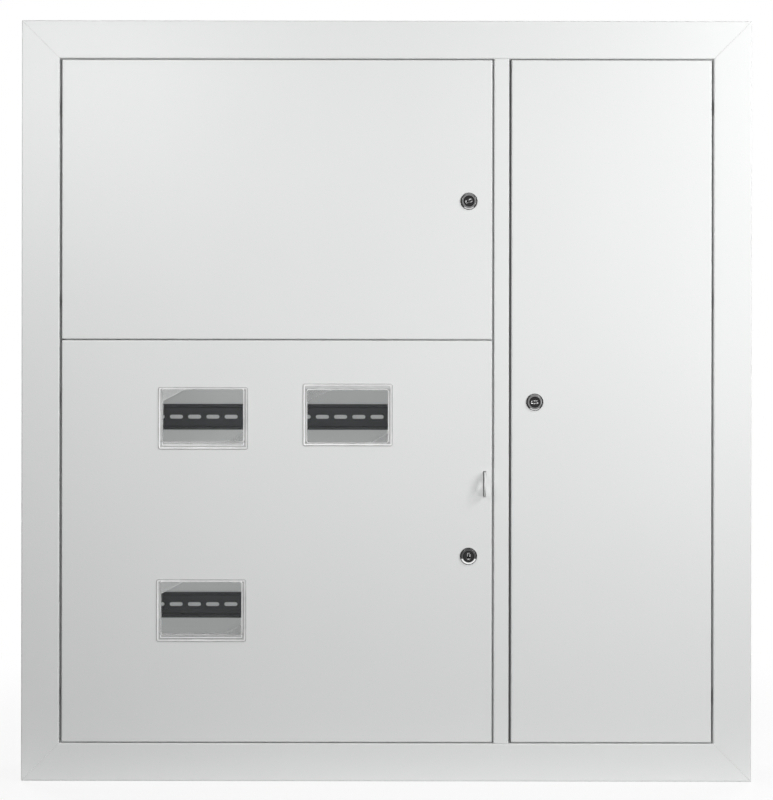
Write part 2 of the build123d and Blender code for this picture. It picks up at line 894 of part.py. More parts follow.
# Sealing lug: an ear that stands out through the door, with a foot riveted to the post
foot_width = lug_foot_end - lug_x + lug_sheet / 2
foot_middle = lug_foot_end - foot_width / 2
rivet_places = [
    ((lug_x + lug_foot_end) / 2, lug_centre_height + rivet_spacing / 2),
    ((lug_x + lug_foot_end) / 2, lug_centre_height - rivet_spacing / 2),
]
ear_centre = lug_height / 2 - lug_reach
with BuildPart() as sealing_lug:
    with BuildSketch(side_view_at(lug_x)):
        with Locations((ear_centre, lug_centre_height)):
            Circle(lug_height / 2)
        with Locations(((post_leg - lug_reach) / 2, lug_centre_height)):
            Rectangle(post_leg + lug_reach, lug_height, mode=Mode.INTERSECT)
        with Locations(((ear_centre + post_leg) / 2, lug_centre_height)):
            Rectangle(post_leg - ear_centre, lug_height)
        with Locations((lug_hole_radius + lug_hole_web - lug_reach, lug_centre_height)):
            Circle(lug_hole_radius, mode=Mode.SUBTRACT)
    extrude(amount=lug_sheet / 2, both=True)
    with BuildSketch(at_depth(post_leg)):
        with Locations((foot_middle, lug_centre_height)):
            Rectangle(foot_width, lug_height)
    extrude(amount=lug_sheet)
    with BuildSketch(at_depth(post_leg)):
        with Locations(*rivet_places):
            Circle(rivet_radius + rivet_fit)
    extrude(amount=lug_sheet, mode=Mode.SUBTRACT)
save(sealing_lug, "sealing_lug")

with BuildPart() as lug_rivets:
    with BuildSketch(at_depth(post_leg - lug_sheet)):
        with Locations(*rivet_places):
            Circle(rivet_radius)
    extrude(amount=-lug_sheet - post_sheet)
    for depth in (post_leg - lug_sheet, post_leg + post_sheet + rivet_head):
        with BuildSketch(at_depth(depth)):
            with Locations(*rivet_places):
                Circle(rivet_head_radius)
        extrude(amount=rivet_head)
save(lug_rivets, "lug_rivets")


def mounting_rail(name, height):
    """Writes one slotted top-hat rail."""
    with BuildPart() as rail:
        with BuildSketch(side_view_at(rail_centre)):
            with BuildLine():
                FilletPolyline(
                    (rail_front + rail_sheet, height + rail_height / 2),
                    (rail_front + rail_sheet, height + rail_web_height / 2),
                    (rail_back, height + rail_web_height / 2),
                    (rail_back, height - rail_web_height / 2),
                    (rail_front + rail_sheet, height - rail_web_height / 2),
                    (rail_front + rail_sheet, height - rail_height / 2),
                    radius=rail_bend,
                )
                offset(amount=rail_sheet, side=Side.RIGHT)
            make_face()
        extrude(amount=rail_length / 2, both=True)
        with BuildSketch(at_depth(rail_back)):
            with Locations((rail_centre, height)):
                with GridLocations(slot_pitch, 0, 2 * half_slots + 1, 1):
                    SlotOverall(slot_length, slot_width)
        extrude(amount=rail_sheet, mode=Mode.SUBTRACT)
    save(rail, name)


for rail_name, rail_level in rail_heights.items():
    mounting_rail(rail_name, rail_level)

# Rail brackets: hat sections from the back wall to the rails
with BuildPart() as rail_brackets:
    for across, height in rail_hold_places:
        with BuildSketch(side_view_at(across)):
            with BuildLine():
                FilletPolyline(
                    (back_wall, height + bracket_height / 2 + bracket_foot),
                    (back_wall, height + bracket_height / 2),
                    (rail_back + bracket_sheet, height + bracket_height / 2),
                    (rail_back + bracket_sheet, height - bracket_height / 2),
                    (back_wall, height - bracket_height / 2),
                    (back_wall, height - bracket_height / 2 - bracket_foot),
                    radius=bracket_sheet + bend_radius,
                )
                offset(amount=bracket_sheet, side=Side.RIGHT)
            make_face()
        extrude(amount=bracket_width / 2, both=True)
    with BuildSketch(at_depth(rail_back)):
        with Locations(*rail_hold_places):
            Circle(fixing_screw_radius + screw_fit)
    extrude(amount=-bracket_sheet, mode=Mode.SUBTRACT)
save(rail_brackets, "rail_brackets")
pan_head_screws(
    "rail_screws",
    rail_hold_places,
    rail_back - rail_sheet,
    fixing_head_radius,
    fixing_head,
    fixing_screw_radius,
    fixing_length,
)


# Terminal bars on insulators, with a clamping screw over each wire hole
def terminal_places(centre):
    """Places of the clamping screws on a bar."""
    first = centre[0] - (terminal_count - 1) * terminal_pitch / 2
    return [(first + index * terminal_pitch, centre[1]) for index in range(terminal_count)]


def hold_places(centre):
    """Places of the two fixing screws of a bar."""
    return [(centre[0] - bar_hold, centre[1]), (centre[0] + bar_hold, centre[1])]


def terminal_bar(name, centre):
    """Writes one drilled bar."""
    with BuildPart() as bar:
        with BuildSketch(at_depth(bar_back)):
            with Locations(centre):
                Rectangle(bar_length, bar_height)
        extrude(amount=bar_deep)
        with BuildSketch(plan_view.offset(centre[1])):
            for across, height in terminal_places(centre):
                with Locations((across, (bar_front + bar_back) / 2)):
                    Circle(terminal_hole_radius)
        extrude(amount=bar_height, both=True, mode=Mode.SUBTRACT)
        with BuildSketch(at_depth(bar_front)):
            with Locations(*terminal_places(centre)):
                Circle(terminal_screw_radius + screw_fit)
        extrude(amount=-bar_deep / 2, mode=Mode.SUBTRACT)
        with BuildSketch(at_depth(bar_front)):
            with Locations(*hold_places(centre)):
                Circle(fixing_screw_radius + screw_fit)
        extrude(amount=-bar_deep, mode=Mode.SUBTRACT)
    save(bar, name)


def bar_insulators(name, centre):
    """Writes the two insulating posts under a bar."""
    with BuildPart() as posts:
        with BuildSketch(at_depth(back_wall)):
            with Locations(*hold_places(centre)):
                Rectangle(insulator_width, insulator_height)
        extrude(amount=insulator_deep)
        chamfer(posts.edges().filter_by(Axis.Y), length=insulator_chamfer)
        with BuildSketch(at_depth(bar_back)):
            with Locations(*hold_places(centre)):
                Circle(fixing_screw_radius + screw_fit)
        extrude(amount=-fixing_length, mode=Mode.SUBTRACT)
    save(posts, name)


terminal_bar("neutral_bar", neutral_bar_centre)
terminal_bar("earth_bar", earth_bar_centre)
bar_insulators("neutral_insulators", neutral_bar_centre)
bar_insulators("earth_insulators", earth_bar_centre)
pan_head_screws(
    "terminal_screws",
    terminal_places(neutral_bar_centre) + terminal_places(earth_bar_centre),
    bar_front,
    terminal_head_radius,
    terminal_head,
    terminal_screw_radius,
    terminal_screw_length,
)
pan_head_screws(
    "bar_screws",
    hold_places(neutral_bar_centre) + hold_places(earth_bar_centre),
    bar_front,
    fixing_head_radius,
    fixing_head,
    fixing_screw_radius,
    bar_deep + fixing_length - seat_gap,
)

# Mounting plate of the low-current compartment, on four standoffs
plate_slot_rows = floor((plate_height - plate_slot_pitch) / plate_slot_pitch)
plate_holds = []
for across in (-plate_hold_width / 2, plate_hold_width / 2):
    for height in (-plate_hold_height / 2, plate_hold_height / 2):
        plate_holds.append((plate_centre + across, height))

with BuildPart() as mounting_plate:
    with BuildSketch(at_depth(plate_depth + plate_sheet)):
        with Locations((plate_centre, 0)):
            RectangleRounded(plate_width, plate_height, plate_corner)
            with GridLocations(
                plate_slot_column_pitch, plate_slot_pitch, plate_slot_columns, plate_slot_rows
            ):
                SlotOverall(plate_slot_length, plate_slot_width, mode=Mode.SUBTRACT)
        with Locations(*plate_holds):
            Circle(fixing_screw_radius + screw_fit, mode=Mode.SUBTRACT)
    extrude(amount=plate_sheet)
save(mounting_plate, "mounting_plate")

with BuildPart() as plate_standoffs:
    with BuildSketch(at_depth(back_wall)):
        with Locations(*plate_holds):
            RegularPolygon(standoff_radius, 6)
    extrude(amount=back_wall - plate_depth - plate_sheet)
    with BuildSketch(at_depth(plate_depth + plate_sheet)):
        with Locations(*plate_holds):
            Circle(fixing_screw_radius + screw_fit)
    extrude(amount=-fixing_length, mode=Mode.SUBTRACT)
save(plate_standoffs, "plate_standoffs")
pan_head_screws(
    "plate_screws",
    plate_holds,
    plate_depth,
    fixing_head_radius,
    fixing_head,
    fixing_screw_radius,
    fixing_length,
)

# Earth stud on the back wall, with its washer and nut
with BuildPart() as earth_stud:
    with BuildSketch(at_depth(back_wall)):
        with Locations(earth_stud_place):
            Circle(earth_stud_radius)
    extrude(amount=earth_stud_length)
    chamfer(earth_stud.faces().sort_by(Axis.Y)[0].edges(), length=earth_stud_chamfer)
save(earth_stud, "earth_stud")

with BuildPart() as earth_washer:
    with BuildSketch(at_depth(back_wall)):
        with Locations(earth_stud_place):
            Circle(earth_washer_radius)
            Circle(earth_stud_radius + lock_fit, mode=Mode.SUBTRACT)
    extrude(amount=earth_washer_sheet)
save(earth_washer, "earth_washer")

with BuildPart() as earth_nut:
    with BuildSketch(at_depth(back_wall - earth_washer_sheet)):
        with Locations(earth_stud_place):
            RegularPolygon(earth_nut_flats / 2, 6, major_radius=False)
            Circle(earth_stud_radius + thread_fit, mode=Mode.SUBTRACT)
    extrude(amount=earth_nut_height)
save(earth_nut, "earth_nut")
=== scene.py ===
"""Dresses the floor distribution board: finishes, cam locks, reading windows, studio light and camera."""

import json
import logging
import math
from dataclasses import dataclass
from enum import Enum
from typing import Callable, Mapping, Optional, Sequence, Union

import bmesh
import bpy
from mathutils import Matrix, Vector


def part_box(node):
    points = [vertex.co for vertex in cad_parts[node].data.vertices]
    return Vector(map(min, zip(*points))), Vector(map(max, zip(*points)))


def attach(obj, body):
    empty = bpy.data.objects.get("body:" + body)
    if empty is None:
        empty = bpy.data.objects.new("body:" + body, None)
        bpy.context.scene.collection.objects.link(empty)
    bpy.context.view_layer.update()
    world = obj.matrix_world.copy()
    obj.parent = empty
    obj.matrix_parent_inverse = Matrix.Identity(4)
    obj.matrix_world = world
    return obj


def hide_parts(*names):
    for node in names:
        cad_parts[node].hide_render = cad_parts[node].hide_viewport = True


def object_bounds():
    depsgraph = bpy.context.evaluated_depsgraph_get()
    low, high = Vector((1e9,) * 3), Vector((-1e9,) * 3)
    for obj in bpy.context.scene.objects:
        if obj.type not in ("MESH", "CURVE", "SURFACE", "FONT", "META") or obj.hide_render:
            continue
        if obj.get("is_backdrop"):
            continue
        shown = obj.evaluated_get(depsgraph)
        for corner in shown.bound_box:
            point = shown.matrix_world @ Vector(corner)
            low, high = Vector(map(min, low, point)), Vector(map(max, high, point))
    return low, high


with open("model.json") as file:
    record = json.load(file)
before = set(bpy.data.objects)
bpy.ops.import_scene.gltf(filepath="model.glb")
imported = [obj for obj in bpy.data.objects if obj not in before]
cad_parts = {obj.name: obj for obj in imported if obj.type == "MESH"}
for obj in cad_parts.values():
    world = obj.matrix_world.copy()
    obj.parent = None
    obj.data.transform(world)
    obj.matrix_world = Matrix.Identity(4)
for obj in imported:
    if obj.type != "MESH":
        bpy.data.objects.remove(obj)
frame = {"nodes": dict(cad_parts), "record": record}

LOG = logging.getLogger("distribution_board")

MM = 0.001
CORNER_SEGMENTS = 8
ROUND_OVER_SEGMENTS = 2
MERGE_DISTANCE = 1e-6
SHARP_ANGLE = math.radians(35.0)
FLAT_ANGLE = math.radians(12.0)
BOTH_WAYS = (-1.0, 1.0)
NOISE_MEAN = 0.5

Colour = tuple[float, float, float, float]
Number = Union[float, "Signal"]
SocketValue = Union[float, Sequence[float], "Signal"]


class Coating(Enum):
    """The record's material slots, each of which has one finish here."""

    GREY_COAT = "grey_coat"
    LOCK_METAL = "lock_metal"
    CLEAR_PLASTIC = "clear_plastic"
    DARK_ZINC = "dark_zinc"
    ZINC_STEEL = "zinc_steel"
    BRASS = "brass"
    BLUE_PLASTIC = "blue_plastic"
    GREEN_PLASTIC = "green_plastic"


class LockPlace(Enum):
    """The door that a cam lock is set in."""

    UPPER = "upper"
    LOWER = "lower"
    SIDE = "side"


class RibCorner(Enum):
    """The corner of a reading window that a rib stands in: its way along X, and against Z."""

    UPPER_LEFT = 1.0
    LOWER_RIGHT = -1.0


def grey(level: float) -> Colour:
    """Returns a neutral colour of one linear level."""
    return (level, level, level, 1.0)


def shaded(colour: Colour, share: float) -> Colour:
    """Returns a colour with each of its levels times a share."""
    return tuple(level * share for level in colour[:3]) + (1.0,)


# Shader sheets


class Signal:
    """An output socket that takes part in Python arithmetic: each operator adds one Math node."""

    def __init__(self, sheet: "ShaderSheet", socket: bpy.types.NodeSocket) -> None:
        """Wraps one output socket of a node in the sheet."""
        self.sheet = sheet
        self.socket = socket

    def __add__(self, other: Number) -> "Signal":
        """Returns this value plus another."""
        return self.sheet.math("ADD", self, other)

    def __radd__(self, other: Number) -> "Signal":
        """Returns another value plus this one."""
        return self.sheet.math("ADD", other, self)

    def __sub__(self, other: Number) -> "Signal":
        """Returns this value minus another."""
        return self.sheet.math("SUBTRACT", self, other)

    def __rsub__(self, other: Number) -> "Signal":
        """Returns another value minus this one."""
        return self.sheet.math("SUBTRACT", other, self)

    def __mul__(self, other: Number) -> "Signal":
        """Returns this value times another."""
        return self.sheet.math("MULTIPLY", self, other)

    def __rmul__(self, other: Number) -> "Signal":
        """Returns another value times this one."""
        return self.sheet.math("MULTIPLY", other, self)

    def __truediv__(self, other: Number) -> "Signal":
        """Returns this value divided by another."""
        return self.sheet.math("DIVIDE", self, other)

    def __rtruediv__(self, other: Number) -> "Signal":
        """Returns another value divided by this one."""
        return self.sheet.math("DIVIDE", other, self)

    def __neg__(self) -> "Signal":
        """Returns this value with its sign turned."""
        return 0.0 - self

    def __abs__(self) -> "Signal":
        """Returns this value without its sign."""
        return self.sheet.math("ABSOLUTE", self)

    def at_least(self, floor: Number) -> "Signal":
        """Returns this value, or the floor where it is lower."""
        return self.sheet.math("MAXIMUM", self, floor)

    def at_most(self, ceiling: Number) -> "Signal":
        """Returns this value, or the ceiling where it is higher."""
        return self.sheet.math("MINIMUM", self, ceiling)

    def root(self) -> "Signal":
        """Returns the square root of this value."""
        return self.sheet.math("SQRT", self)

    def between(self, low: float, high: float) -> "Signal":
        """Maps this value to 0 at low and 1 at high, smoothly and without overshoot.

        Args:
            low: The value that becomes 0.
            high: The value that becomes 1.

        Returns:
            The mapped value.
        """
        node = self.sheet.node(
            "ShaderNodeMapRange",
            {"interpolation_type": "SMOOTHSTEP"},
            {"Value": self, "From Min": low, "From Max": high},
        )
        return Signal(self.sheet, node.outputs["Result"])

    def past(self, limit: float, edge: float) -> "Signal":
        """Returns 1 past a limit and 0 before it, with a soft edge of that half width."""
        return self.between(limit - edge, limit + edge)

    def band(self, low: float, high: float, edge: float) -> "Signal":
        """Returns 1 between two limits and 0 outside them, with soft edges of that half width."""
        return self.past(low, edge) - self.past(high, edge)


class ShaderSheet:
    """The node sheet of a material or a world, with a method for each step that the finishes share."""

    def __init__(self, owner: Union[bpy.types.Material, bpy.types.World]) -> None:
        """Opens the owner's node sheet and clears it.

        Args:
            owner: The material or world that the sheet belongs to.
        """
        self.owner = owner
        owner.use_nodes = True
        self.tree = owner.node_tree
        self.tree.nodes.clear()

    @classmethod
    def of_material(cls, name: str) -> "ShaderSheet":
        """Returns the empty sheet of a new material."""
        return cls(bpy.data.materials.new(name))

    def node(
        self,
        kind: str,
        settings: Optional[Mapping[str, object]] = None,
        inputs: Optional[Mapping[Union[str, int], SocketValue]] = None,
    ) -> bpy.types.Node:
        """Adds one node.

        Args:
            kind: The node's type.
            settings: Its properties, set first.
            inputs: A value or a link for each socket, by name or number.

        Returns:
            The node.
        """
        made = self.tree.nodes.new(kind)
        for name, value in (settings or {}).items():
            setattr(made, name, value)
        for name, value in (inputs or {}).items():
            if isinstance(value, Signal):
                self.tree.links.new(value.socket, made.inputs[name])
            else:
                made.inputs[name].default_value = value
        return made

    def math(self, operation: str, *values: Number) -> Signal:
        """Adds a Math node on one to three values."""
        made = self.node("ShaderNodeMath", {"operation": operation}, dict(enumerate(values)))
        return Signal(self, made.outputs[0])

    def coordinates(
        self,
        origin: Sequence[float] = (0.0, 0.0, 0.0),
        scale: Sequence[float] = (1.0, 1.0, 1.0),
    ) -> Signal:
        """Object coordinates counted from an origin and stretched.

        Args:
            origin: The point in metres that becomes zero.
            scale: The stretch along each axis.

        Returns:
            The coordinate vector.
        """
        source = self.node("ShaderNodeTexCoord")
        mapped = self.node(
            "ShaderNodeMapping",
            {"vector_type": "POINT"},
            {
                "Vector": Signal(self, source.outputs["Object"]),
                "Location": [-start * factor for start, factor in zip(origin, scale)],
                "Scale": list(scale),
            },
        )
        return Signal(self, mapped.outputs["Vector"])

    def split(self, vector: Signal) -> tuple[Signal, Signal, Signal]:
        """Returns the three parts of a vector."""
        parts = self.node("ShaderNodeSeparateXYZ", None, {"Vector": vector})
        return tuple(Signal(self, parts.outputs[axis]) for axis in "XYZ")

    def noise(self, vector: Signal, scale: float, detail: float = 2.0, roughness: float = 0.5) -> Signal:
        """Adds a noise pattern.

        Args:
            vector: The coordinates that it reads.
            scale: Its lumps per metre.
            detail: Its octaves.
            roughness: The weight of the finer octaves.

        Returns:
            A value about 0.5.
        """
        made = self.node(
            "ShaderNodeTexNoise",
            None,
            {"Vector": vector, "Scale": scale, "Detail": detail, "Roughness": roughness},
        )
        return Signal(self, made.outputs["Fac"])

    def blend(self, factor: Number, first: Union[Colour, Signal], second: Union[Colour, Signal]) -> Signal:
        """Mixes two colours, 0 for the first and 1 for the second."""
        made = self.node("ShaderNodeMix", {"data_type": "RGBA"}, {0: factor, 6: first, 7: second})
        return Signal(self, made.outputs[2])

    def clouded(self, pattern: Signal, colour: Colour, spread: float) -> Signal:
        """Returns a colour that a pattern makes darker and lighter by a share of it."""
        return self.blend(pattern, shaded(colour, 1.0 - spread), shaded(colour, 1.0 + spread))

    def bump(
        self, height: Signal, depth: float, strength: float = 1.0, under: Optional[Signal] = None
    ) -> Signal:
        """Turns a height pattern into a normal.

        Args:
            height: The pattern, from 0 to 1.
            depth: Its real height in metres.
            strength: How much of it shows.
            under: Another normal that it is laid over.

        Returns:
            The normal.
        """
        inputs = {"Height": height, "Distance": depth, "Strength": strength}
        if under is not None:
            inputs["Normal"] = under
        return Signal(self, self.node("ShaderNodeBump", None, inputs).outputs["Normal"])

    def rays(self, kind: str) -> Signal:
        """Returns 1 for one kind of ray, such as Shadow, and 0 for the others."""
        return Signal(self, self.node("ShaderNodeLightPath").outputs[f"Is {kind} Ray"])

    def principled(self, inputs: Mapping[str, SocketValue]) -> Signal:
        """Adds the main shader with those sockets set."""
        return Signal(self, self.node("ShaderNodeBsdfPrincipled", None, inputs).outputs["BSDF"])

    def clear(self, tint: Colour) -> Signal:
        """Adds a shader that lets light straight through."""
        return Signal(self, self.node("ShaderNodeBsdfTransparent", None, {"Color": tint}).outputs["BSDF"])

    def mix(self, factor: Number, first: Signal, second: Signal) -> Signal:
        """Mixes two shaders, 0 for the first and 1 for the second."""
        made = self.node("ShaderNodeMixShader", None, {0: factor, 1: first, 2: second})
        return Signal(self, made.outputs["Shader"])

    def output(self, surface: Signal) -> bpy.types.Material:
        """Ends the sheet with its surface shader and returns the material."""
        self.node("ShaderNodeOutputMaterial", None, {"Surface": surface})
        return self.owner


# Finishes


@dataclass(frozen=True)
class PowderCoat:
    """Satin light grey powder coat: a slow drift of tone, a fine orange peel, mitre lines at the corners and
    painted shade in a fold if one is given.

    Attributes:
        name: The material's name.
        tone: The coat's linear colour.
        mitre: The board's half width and half height where the strips meet at 45 degrees, if they do.
        fold: The two sides and the depth of a narrow fold that gets painted shade, if there is one.
    """

    name: str
    tone: Colour
    mitre: Optional[tuple[float, float]] = None
    fold: Optional[tuple[float, float, float]] = None
    drift_scale: float = 3.1
    drift: float = 0.030
    peel_scale: float = 360.0
    peel_depth: float = 0.08 * MM
    grain_scale: float = 2600.0
    grain_depth: float = 0.016 * MM
    roughness: float = 0.44
    roughness_spread: float = 0.10
    gloss: float = 0.42
    mitre_core: float = 0.3 * MM
    mitre_line: float = 1.0 * MM
    mitre_shade: float = 0.74
    fold_edge: float = 0.3 * MM
    fold_shade: float = 0.20

    def material(self) -> bpy.types.Material:
        """Builds the material.

        Returns:
            The material.
        """
        sheet = ShaderSheet.of_material(self.name)
        place = sheet.coordinates()
        drift = sheet.noise(place, self.drift_scale, detail=3.0)
        peel = sheet.noise(place, self.peel_scale)
        grain = sheet.noise(place, self.grain_scale, roughness=0.6)
        colour = sheet.clouded(drift, self.tone, self.drift)
        if self.mitre is not None:
            mitre = self._mitre_mask(sheet, place)
            colour = sheet.blend(mitre, colour, shaded(self.tone, self.mitre_shade))
        # Painted shade: the given fold is darkened as a recess in shade would be.
        if self.fold is not None:
            fold = self._painted_fold_shade_mask(sheet, place)
            colour = sheet.blend(fold, colour, shaded(self.tone, self.fold_shade))
        peeled = sheet.bump(peel, self.peel_depth)
        return sheet.output(
            sheet.principled(
                {
                    "Base Color": colour,
                    "Roughness": self.roughness + self.roughness_spread * (peel - NOISE_MEAN),
                    "Normal": sheet.bump(grain, self.grain_depth, under=peeled),
                    "Specular IOR Level": self.gloss,
                }
            )
        )

    def _painted_fold_shade_mask(self, sheet: ShaderSheet, place: Signal) -> Signal:
        """Marks the fold where shade is painted.

        Args:
            sheet: The sheet to add to.
            place: Object coordinates.

        Returns:
            1 in the fold, 0 away from it.
        """
        across, deep, _ = sheet.split(place)
        left, right, start = self.fold
        return across.band(left, right, self.fold_edge) * deep.past(start, self.fold_edge)

    def _mitre_mask(self, sheet: ShaderSheet, place: Signal) -> Signal:
        """Marks the diagonal joint lines at the four corners.

        Args:
            sheet: The sheet to add to.
            place: Object coordinates.

        Returns:
            1 on the joint line, 0 away from it.
        """
        across, _, up = sheet.split(place)
        half_width, half_height = self.mitre
        from_diagonal = abs((abs(across) - half_width) - (abs(up) - half_height))
        return 1.0 - from_diagonal.between(self.mitre_core, self.mitre_line)


@dataclass(frozen=True)
class PaintedLockShine:
    """The painted reflections and highlights of one lock, set to how the studio's light falls on it.

    Attributes:
        ring: The level of the flat ring, a painted reflection.
        above: The level of the painted highlight at the top of the bevel.
        below: The level of the painted highlight at the bottom of the bevel.
        inset: How far inside the bevel the painted highlights start.
        width: How wide they are.
        turn: The sine of the angle below level where the lower painted highlight starts.
    """

    ring: float = 0.24
    above: float = 0.26
    below: float = 0.66
    inset: float = 0.0
    width: float = 1.4 * MM
    turn: float = 0.78


@dataclass(frozen=True)
class DarkNickel:
    """Turned dark nickel with painted reflections: a grey flat ring, a dark bevel with painted highlights at
    its top and bottom, and a painted glint in the key mouth.

    Attributes:
        name: The material's name.
        axis: Where the lock's axis meets the plug's face.
        ring_inside: The radius where the flat ring starts.
        ring_outside: The radius where the flat ring ends.
        mouth: How deep the sloping mouth of the key slot goes.
        shine: Its painted reflections and highlights.
    """

    name: str
    axis: tuple[float, float, float]
    ring_inside: float
    ring_outside: float
    mouth: float
    shine: PaintedLockShine
    edge: float = 0.15 * MM
    upper_turn: tuple[float, float] = (0.74, 0.90)
    turn_edge: float = 0.08
    plug_tone: float = 0.035
    bevel_tone: float = 0.045
    glint: float = 0.92
    glint_fade: tuple[float, float] = (0.8, 0.9)
    turning: float = 18000.0
    turning_depth: float = 0.006 * MM
    turning_strength: float = 0.6
    smear_scale: float = 430.0
    smear_break: tuple[float, float] = (0.43, 0.57)
    roughness: float = 0.16
    roughness_spread: float = 0.14

    def material(self) -> bpy.types.Material:
        """Builds the material.

        Returns:
            The material.
        """
        sheet = ShaderSheet.of_material(self.name)
        across, deep, up = sheet.split(sheet.coordinates(self.axis))
        radius = (across * across + up * up).root()
        rise = up / radius
        smear = sheet.noise(sheet.coordinates(), self.smear_scale, detail=3.0)
        bevel = radius.past(self.ring_outside, self.edge)
        sloping = deep.band(self.edge, self.mouth, self.edge)
        fade_start, fade_end = (share * self.ring_inside for share in self.glint_fade)
        mouth = sloping * (1.0 - radius.between(fade_start, fade_end))
        shine = self.shine
        start = self.ring_outside - shine.inset
        painted_flash_band = radius.band(start, start + shine.width, self.edge)
        upper = rise.between(*self.upper_turn)
        lower = (-rise).past(shine.turn, self.turn_edge)
        # Painted reflections and highlights: the ring's grey, the bright patches at the top and bottom of
        # the bevel and the glint in the key mouth.
        patches = [
            (radius.band(self.ring_inside, self.ring_outside, self.edge), shine.ring),
            (bevel, self.bevel_tone),
            (painted_flash_band * upper, shine.above),
            (painted_flash_band * lower, shine.below),
            (mouth * smear.between(*self.smear_break), self.glint),
        ]
        colour = grey(self.plug_tone)
        for mask, tone in patches:
            colour = sheet.blend(mask, colour, grey(tone))
        turned = sheet.math("SINE", radius * self.turning)
        return sheet.output(
            sheet.principled(
                {
                    "Base Color": colour,
                    "Metallic": 1.0,
                    "Roughness": self.roughness + self.roughness_spread * smear,
                    "Normal": sheet.bump(turned, self.turning_depth, self.turning_strength),
                }
            )
        )


@dataclass(frozen=True)
class ClearPlastic:
    """Clear glossy moulding with painted highlights along its edges round the pane and the rim, lighter
    towards the lower left, a grey rim band and a painted shadow line round the rim's outer edge.

    Attributes:
        name: The material's name.
        centre: The window's middle, across and up.
        field_rise: How far the clear field lies above that middle.
        pane: Half the width and height of the clear field.
        rim: Half the width and height of the whole window.
        corner: The radius of the corners.
        wall: The thickness of the wall round the clear field.
    """

    name: str
    centre: tuple[float, float]
    field_rise: float
    pane: tuple[float, float]
    rim: tuple[float, float]
    corner: float
    wall: float
    outline: float = 1.0 * MM
    painted_shadow_tone: float = 0.42
    rim_line: float = 2.9 * MM
    step_line: float = 1.0 * MM
    step_place: float = 6.3 * MM
    edge: float = 0.25 * MM
    edge_cover: float = 0.644
    edge_cover_spread: float = 0.552
    edge_roughness: float = 0.10
    edge_haze: float = 0.15
    lit_tone: float = 0.95
    shaded_tone: float = 0.70
    rim_cover: float = 0.50
    rim_tone: float = 0.42
    tint: Colour = (0.985, 0.992, 0.992, 1.0)
    shadow_tint: Colour = (0.99, 0.995, 0.995, 1.0)
    index: float = 1.25
    pane_roughness: float = 0.015
    pane_haze: float = 0.03
    haze_scale: float = 60.0

    def material(self) -> bpy.types.Material:
        """Builds the material.

        Returns:
            The material.
        """
        sheet = ShaderSheet.of_material(self.name)
        haze = sheet.noise(sheet.coordinates(), self.haze_scale, detail=3.0)
        across, _, up = sheet.split(sheet.coordinates((self.centre[0], 0.0, self.centre[1])))
        over_field = up - self.field_rise
        past_pane = self._past(abs(across), abs(over_field), self.pane)
        past_rim = self._past(abs(across), abs(up), self.rim)
        below = (-over_field).past(self.pane[1], self.edge)
        step = past_rim.band(-self.step_place, self.step_line - self.step_place, self.edge) * below
        round_rim = past_rim.past(-self.rim_line, self.edge)
        # Painted highlights: lines along the pane's wall, the rim's outer edge and the step below the pane.
        edges = (past_pane.band(0.0, self.wall, self.edge) + round_rim + step).at_most(1.0)
        # The painted highlights are lighter towards the lower left and darker towards the upper right, as
        # the light falls.
        leaning = across / self.rim[0] + up / self.rim[1]
        painted_edge_light = sheet.blend(leaning.between(-1.0, 1.0), grey(self.lit_tone), grey(self.shaded_tone))
        rim_colour = sheet.blend(edges, grey(self.rim_tone), painted_edge_light)
        # A painted shadow line along the rim's outer edge, which also stops shadow rays.
        outline = past_rim.past(-self.outline, self.edge)
        painted_shadow_outlined = sheet.blend(outline, rim_colour, grey(self.painted_shadow_tone))
        moulding = sheet.principled(
            {
                "Base Color": self.tint,
                "Transmission Weight": 1.0,
                "IOR": self.index,
                "Roughness": self.pane_roughness + self.pane_haze * haze,
            }
        )
        polished = sheet.principled(
            {
                "Base Color": painted_shadow_outlined,
                "IOR": self.index,
                "Roughness": self.edge_roughness + self.edge_haze * haze,
            }
        )
        glow = edges * (self.edge_cover + self.edge_cover_spread * haze)
        cover = glow.at_least(self.rim_cover * past_pane.past(self.wall, self.edge))
        straight = sheet.rays("Shadow").at_least(sheet.rays("Diffuse")) * (1.0 - outline)
        return sheet.output(
            sheet.mix(straight, sheet.mix(cover, moulding, polished), sheet.clear(self.shadow_tint))
        )

    def _past(self, across: Signal, up: Signal, half: tuple[float, float]) -> Signal:
        """Measures how far a place lies outside a field with round corners.

        Args:
            across: The distance from the window's middle along X.
            up: The distance from the window's middle along Z.
            half: Half the field's width and height.

        Returns:
            The distance, below zero inside the field.
        """
        over = across - (half[0] - self.corner)
        above = up - (half[1] - self.corner)
        inside = over.at_least(above).at_most(0.0)
        over_only = over.at_least(0.0)
        above_only = above.at_least(0.0)
        return inside + (over_only * over_only + above_only * above_only).root() - self.corner


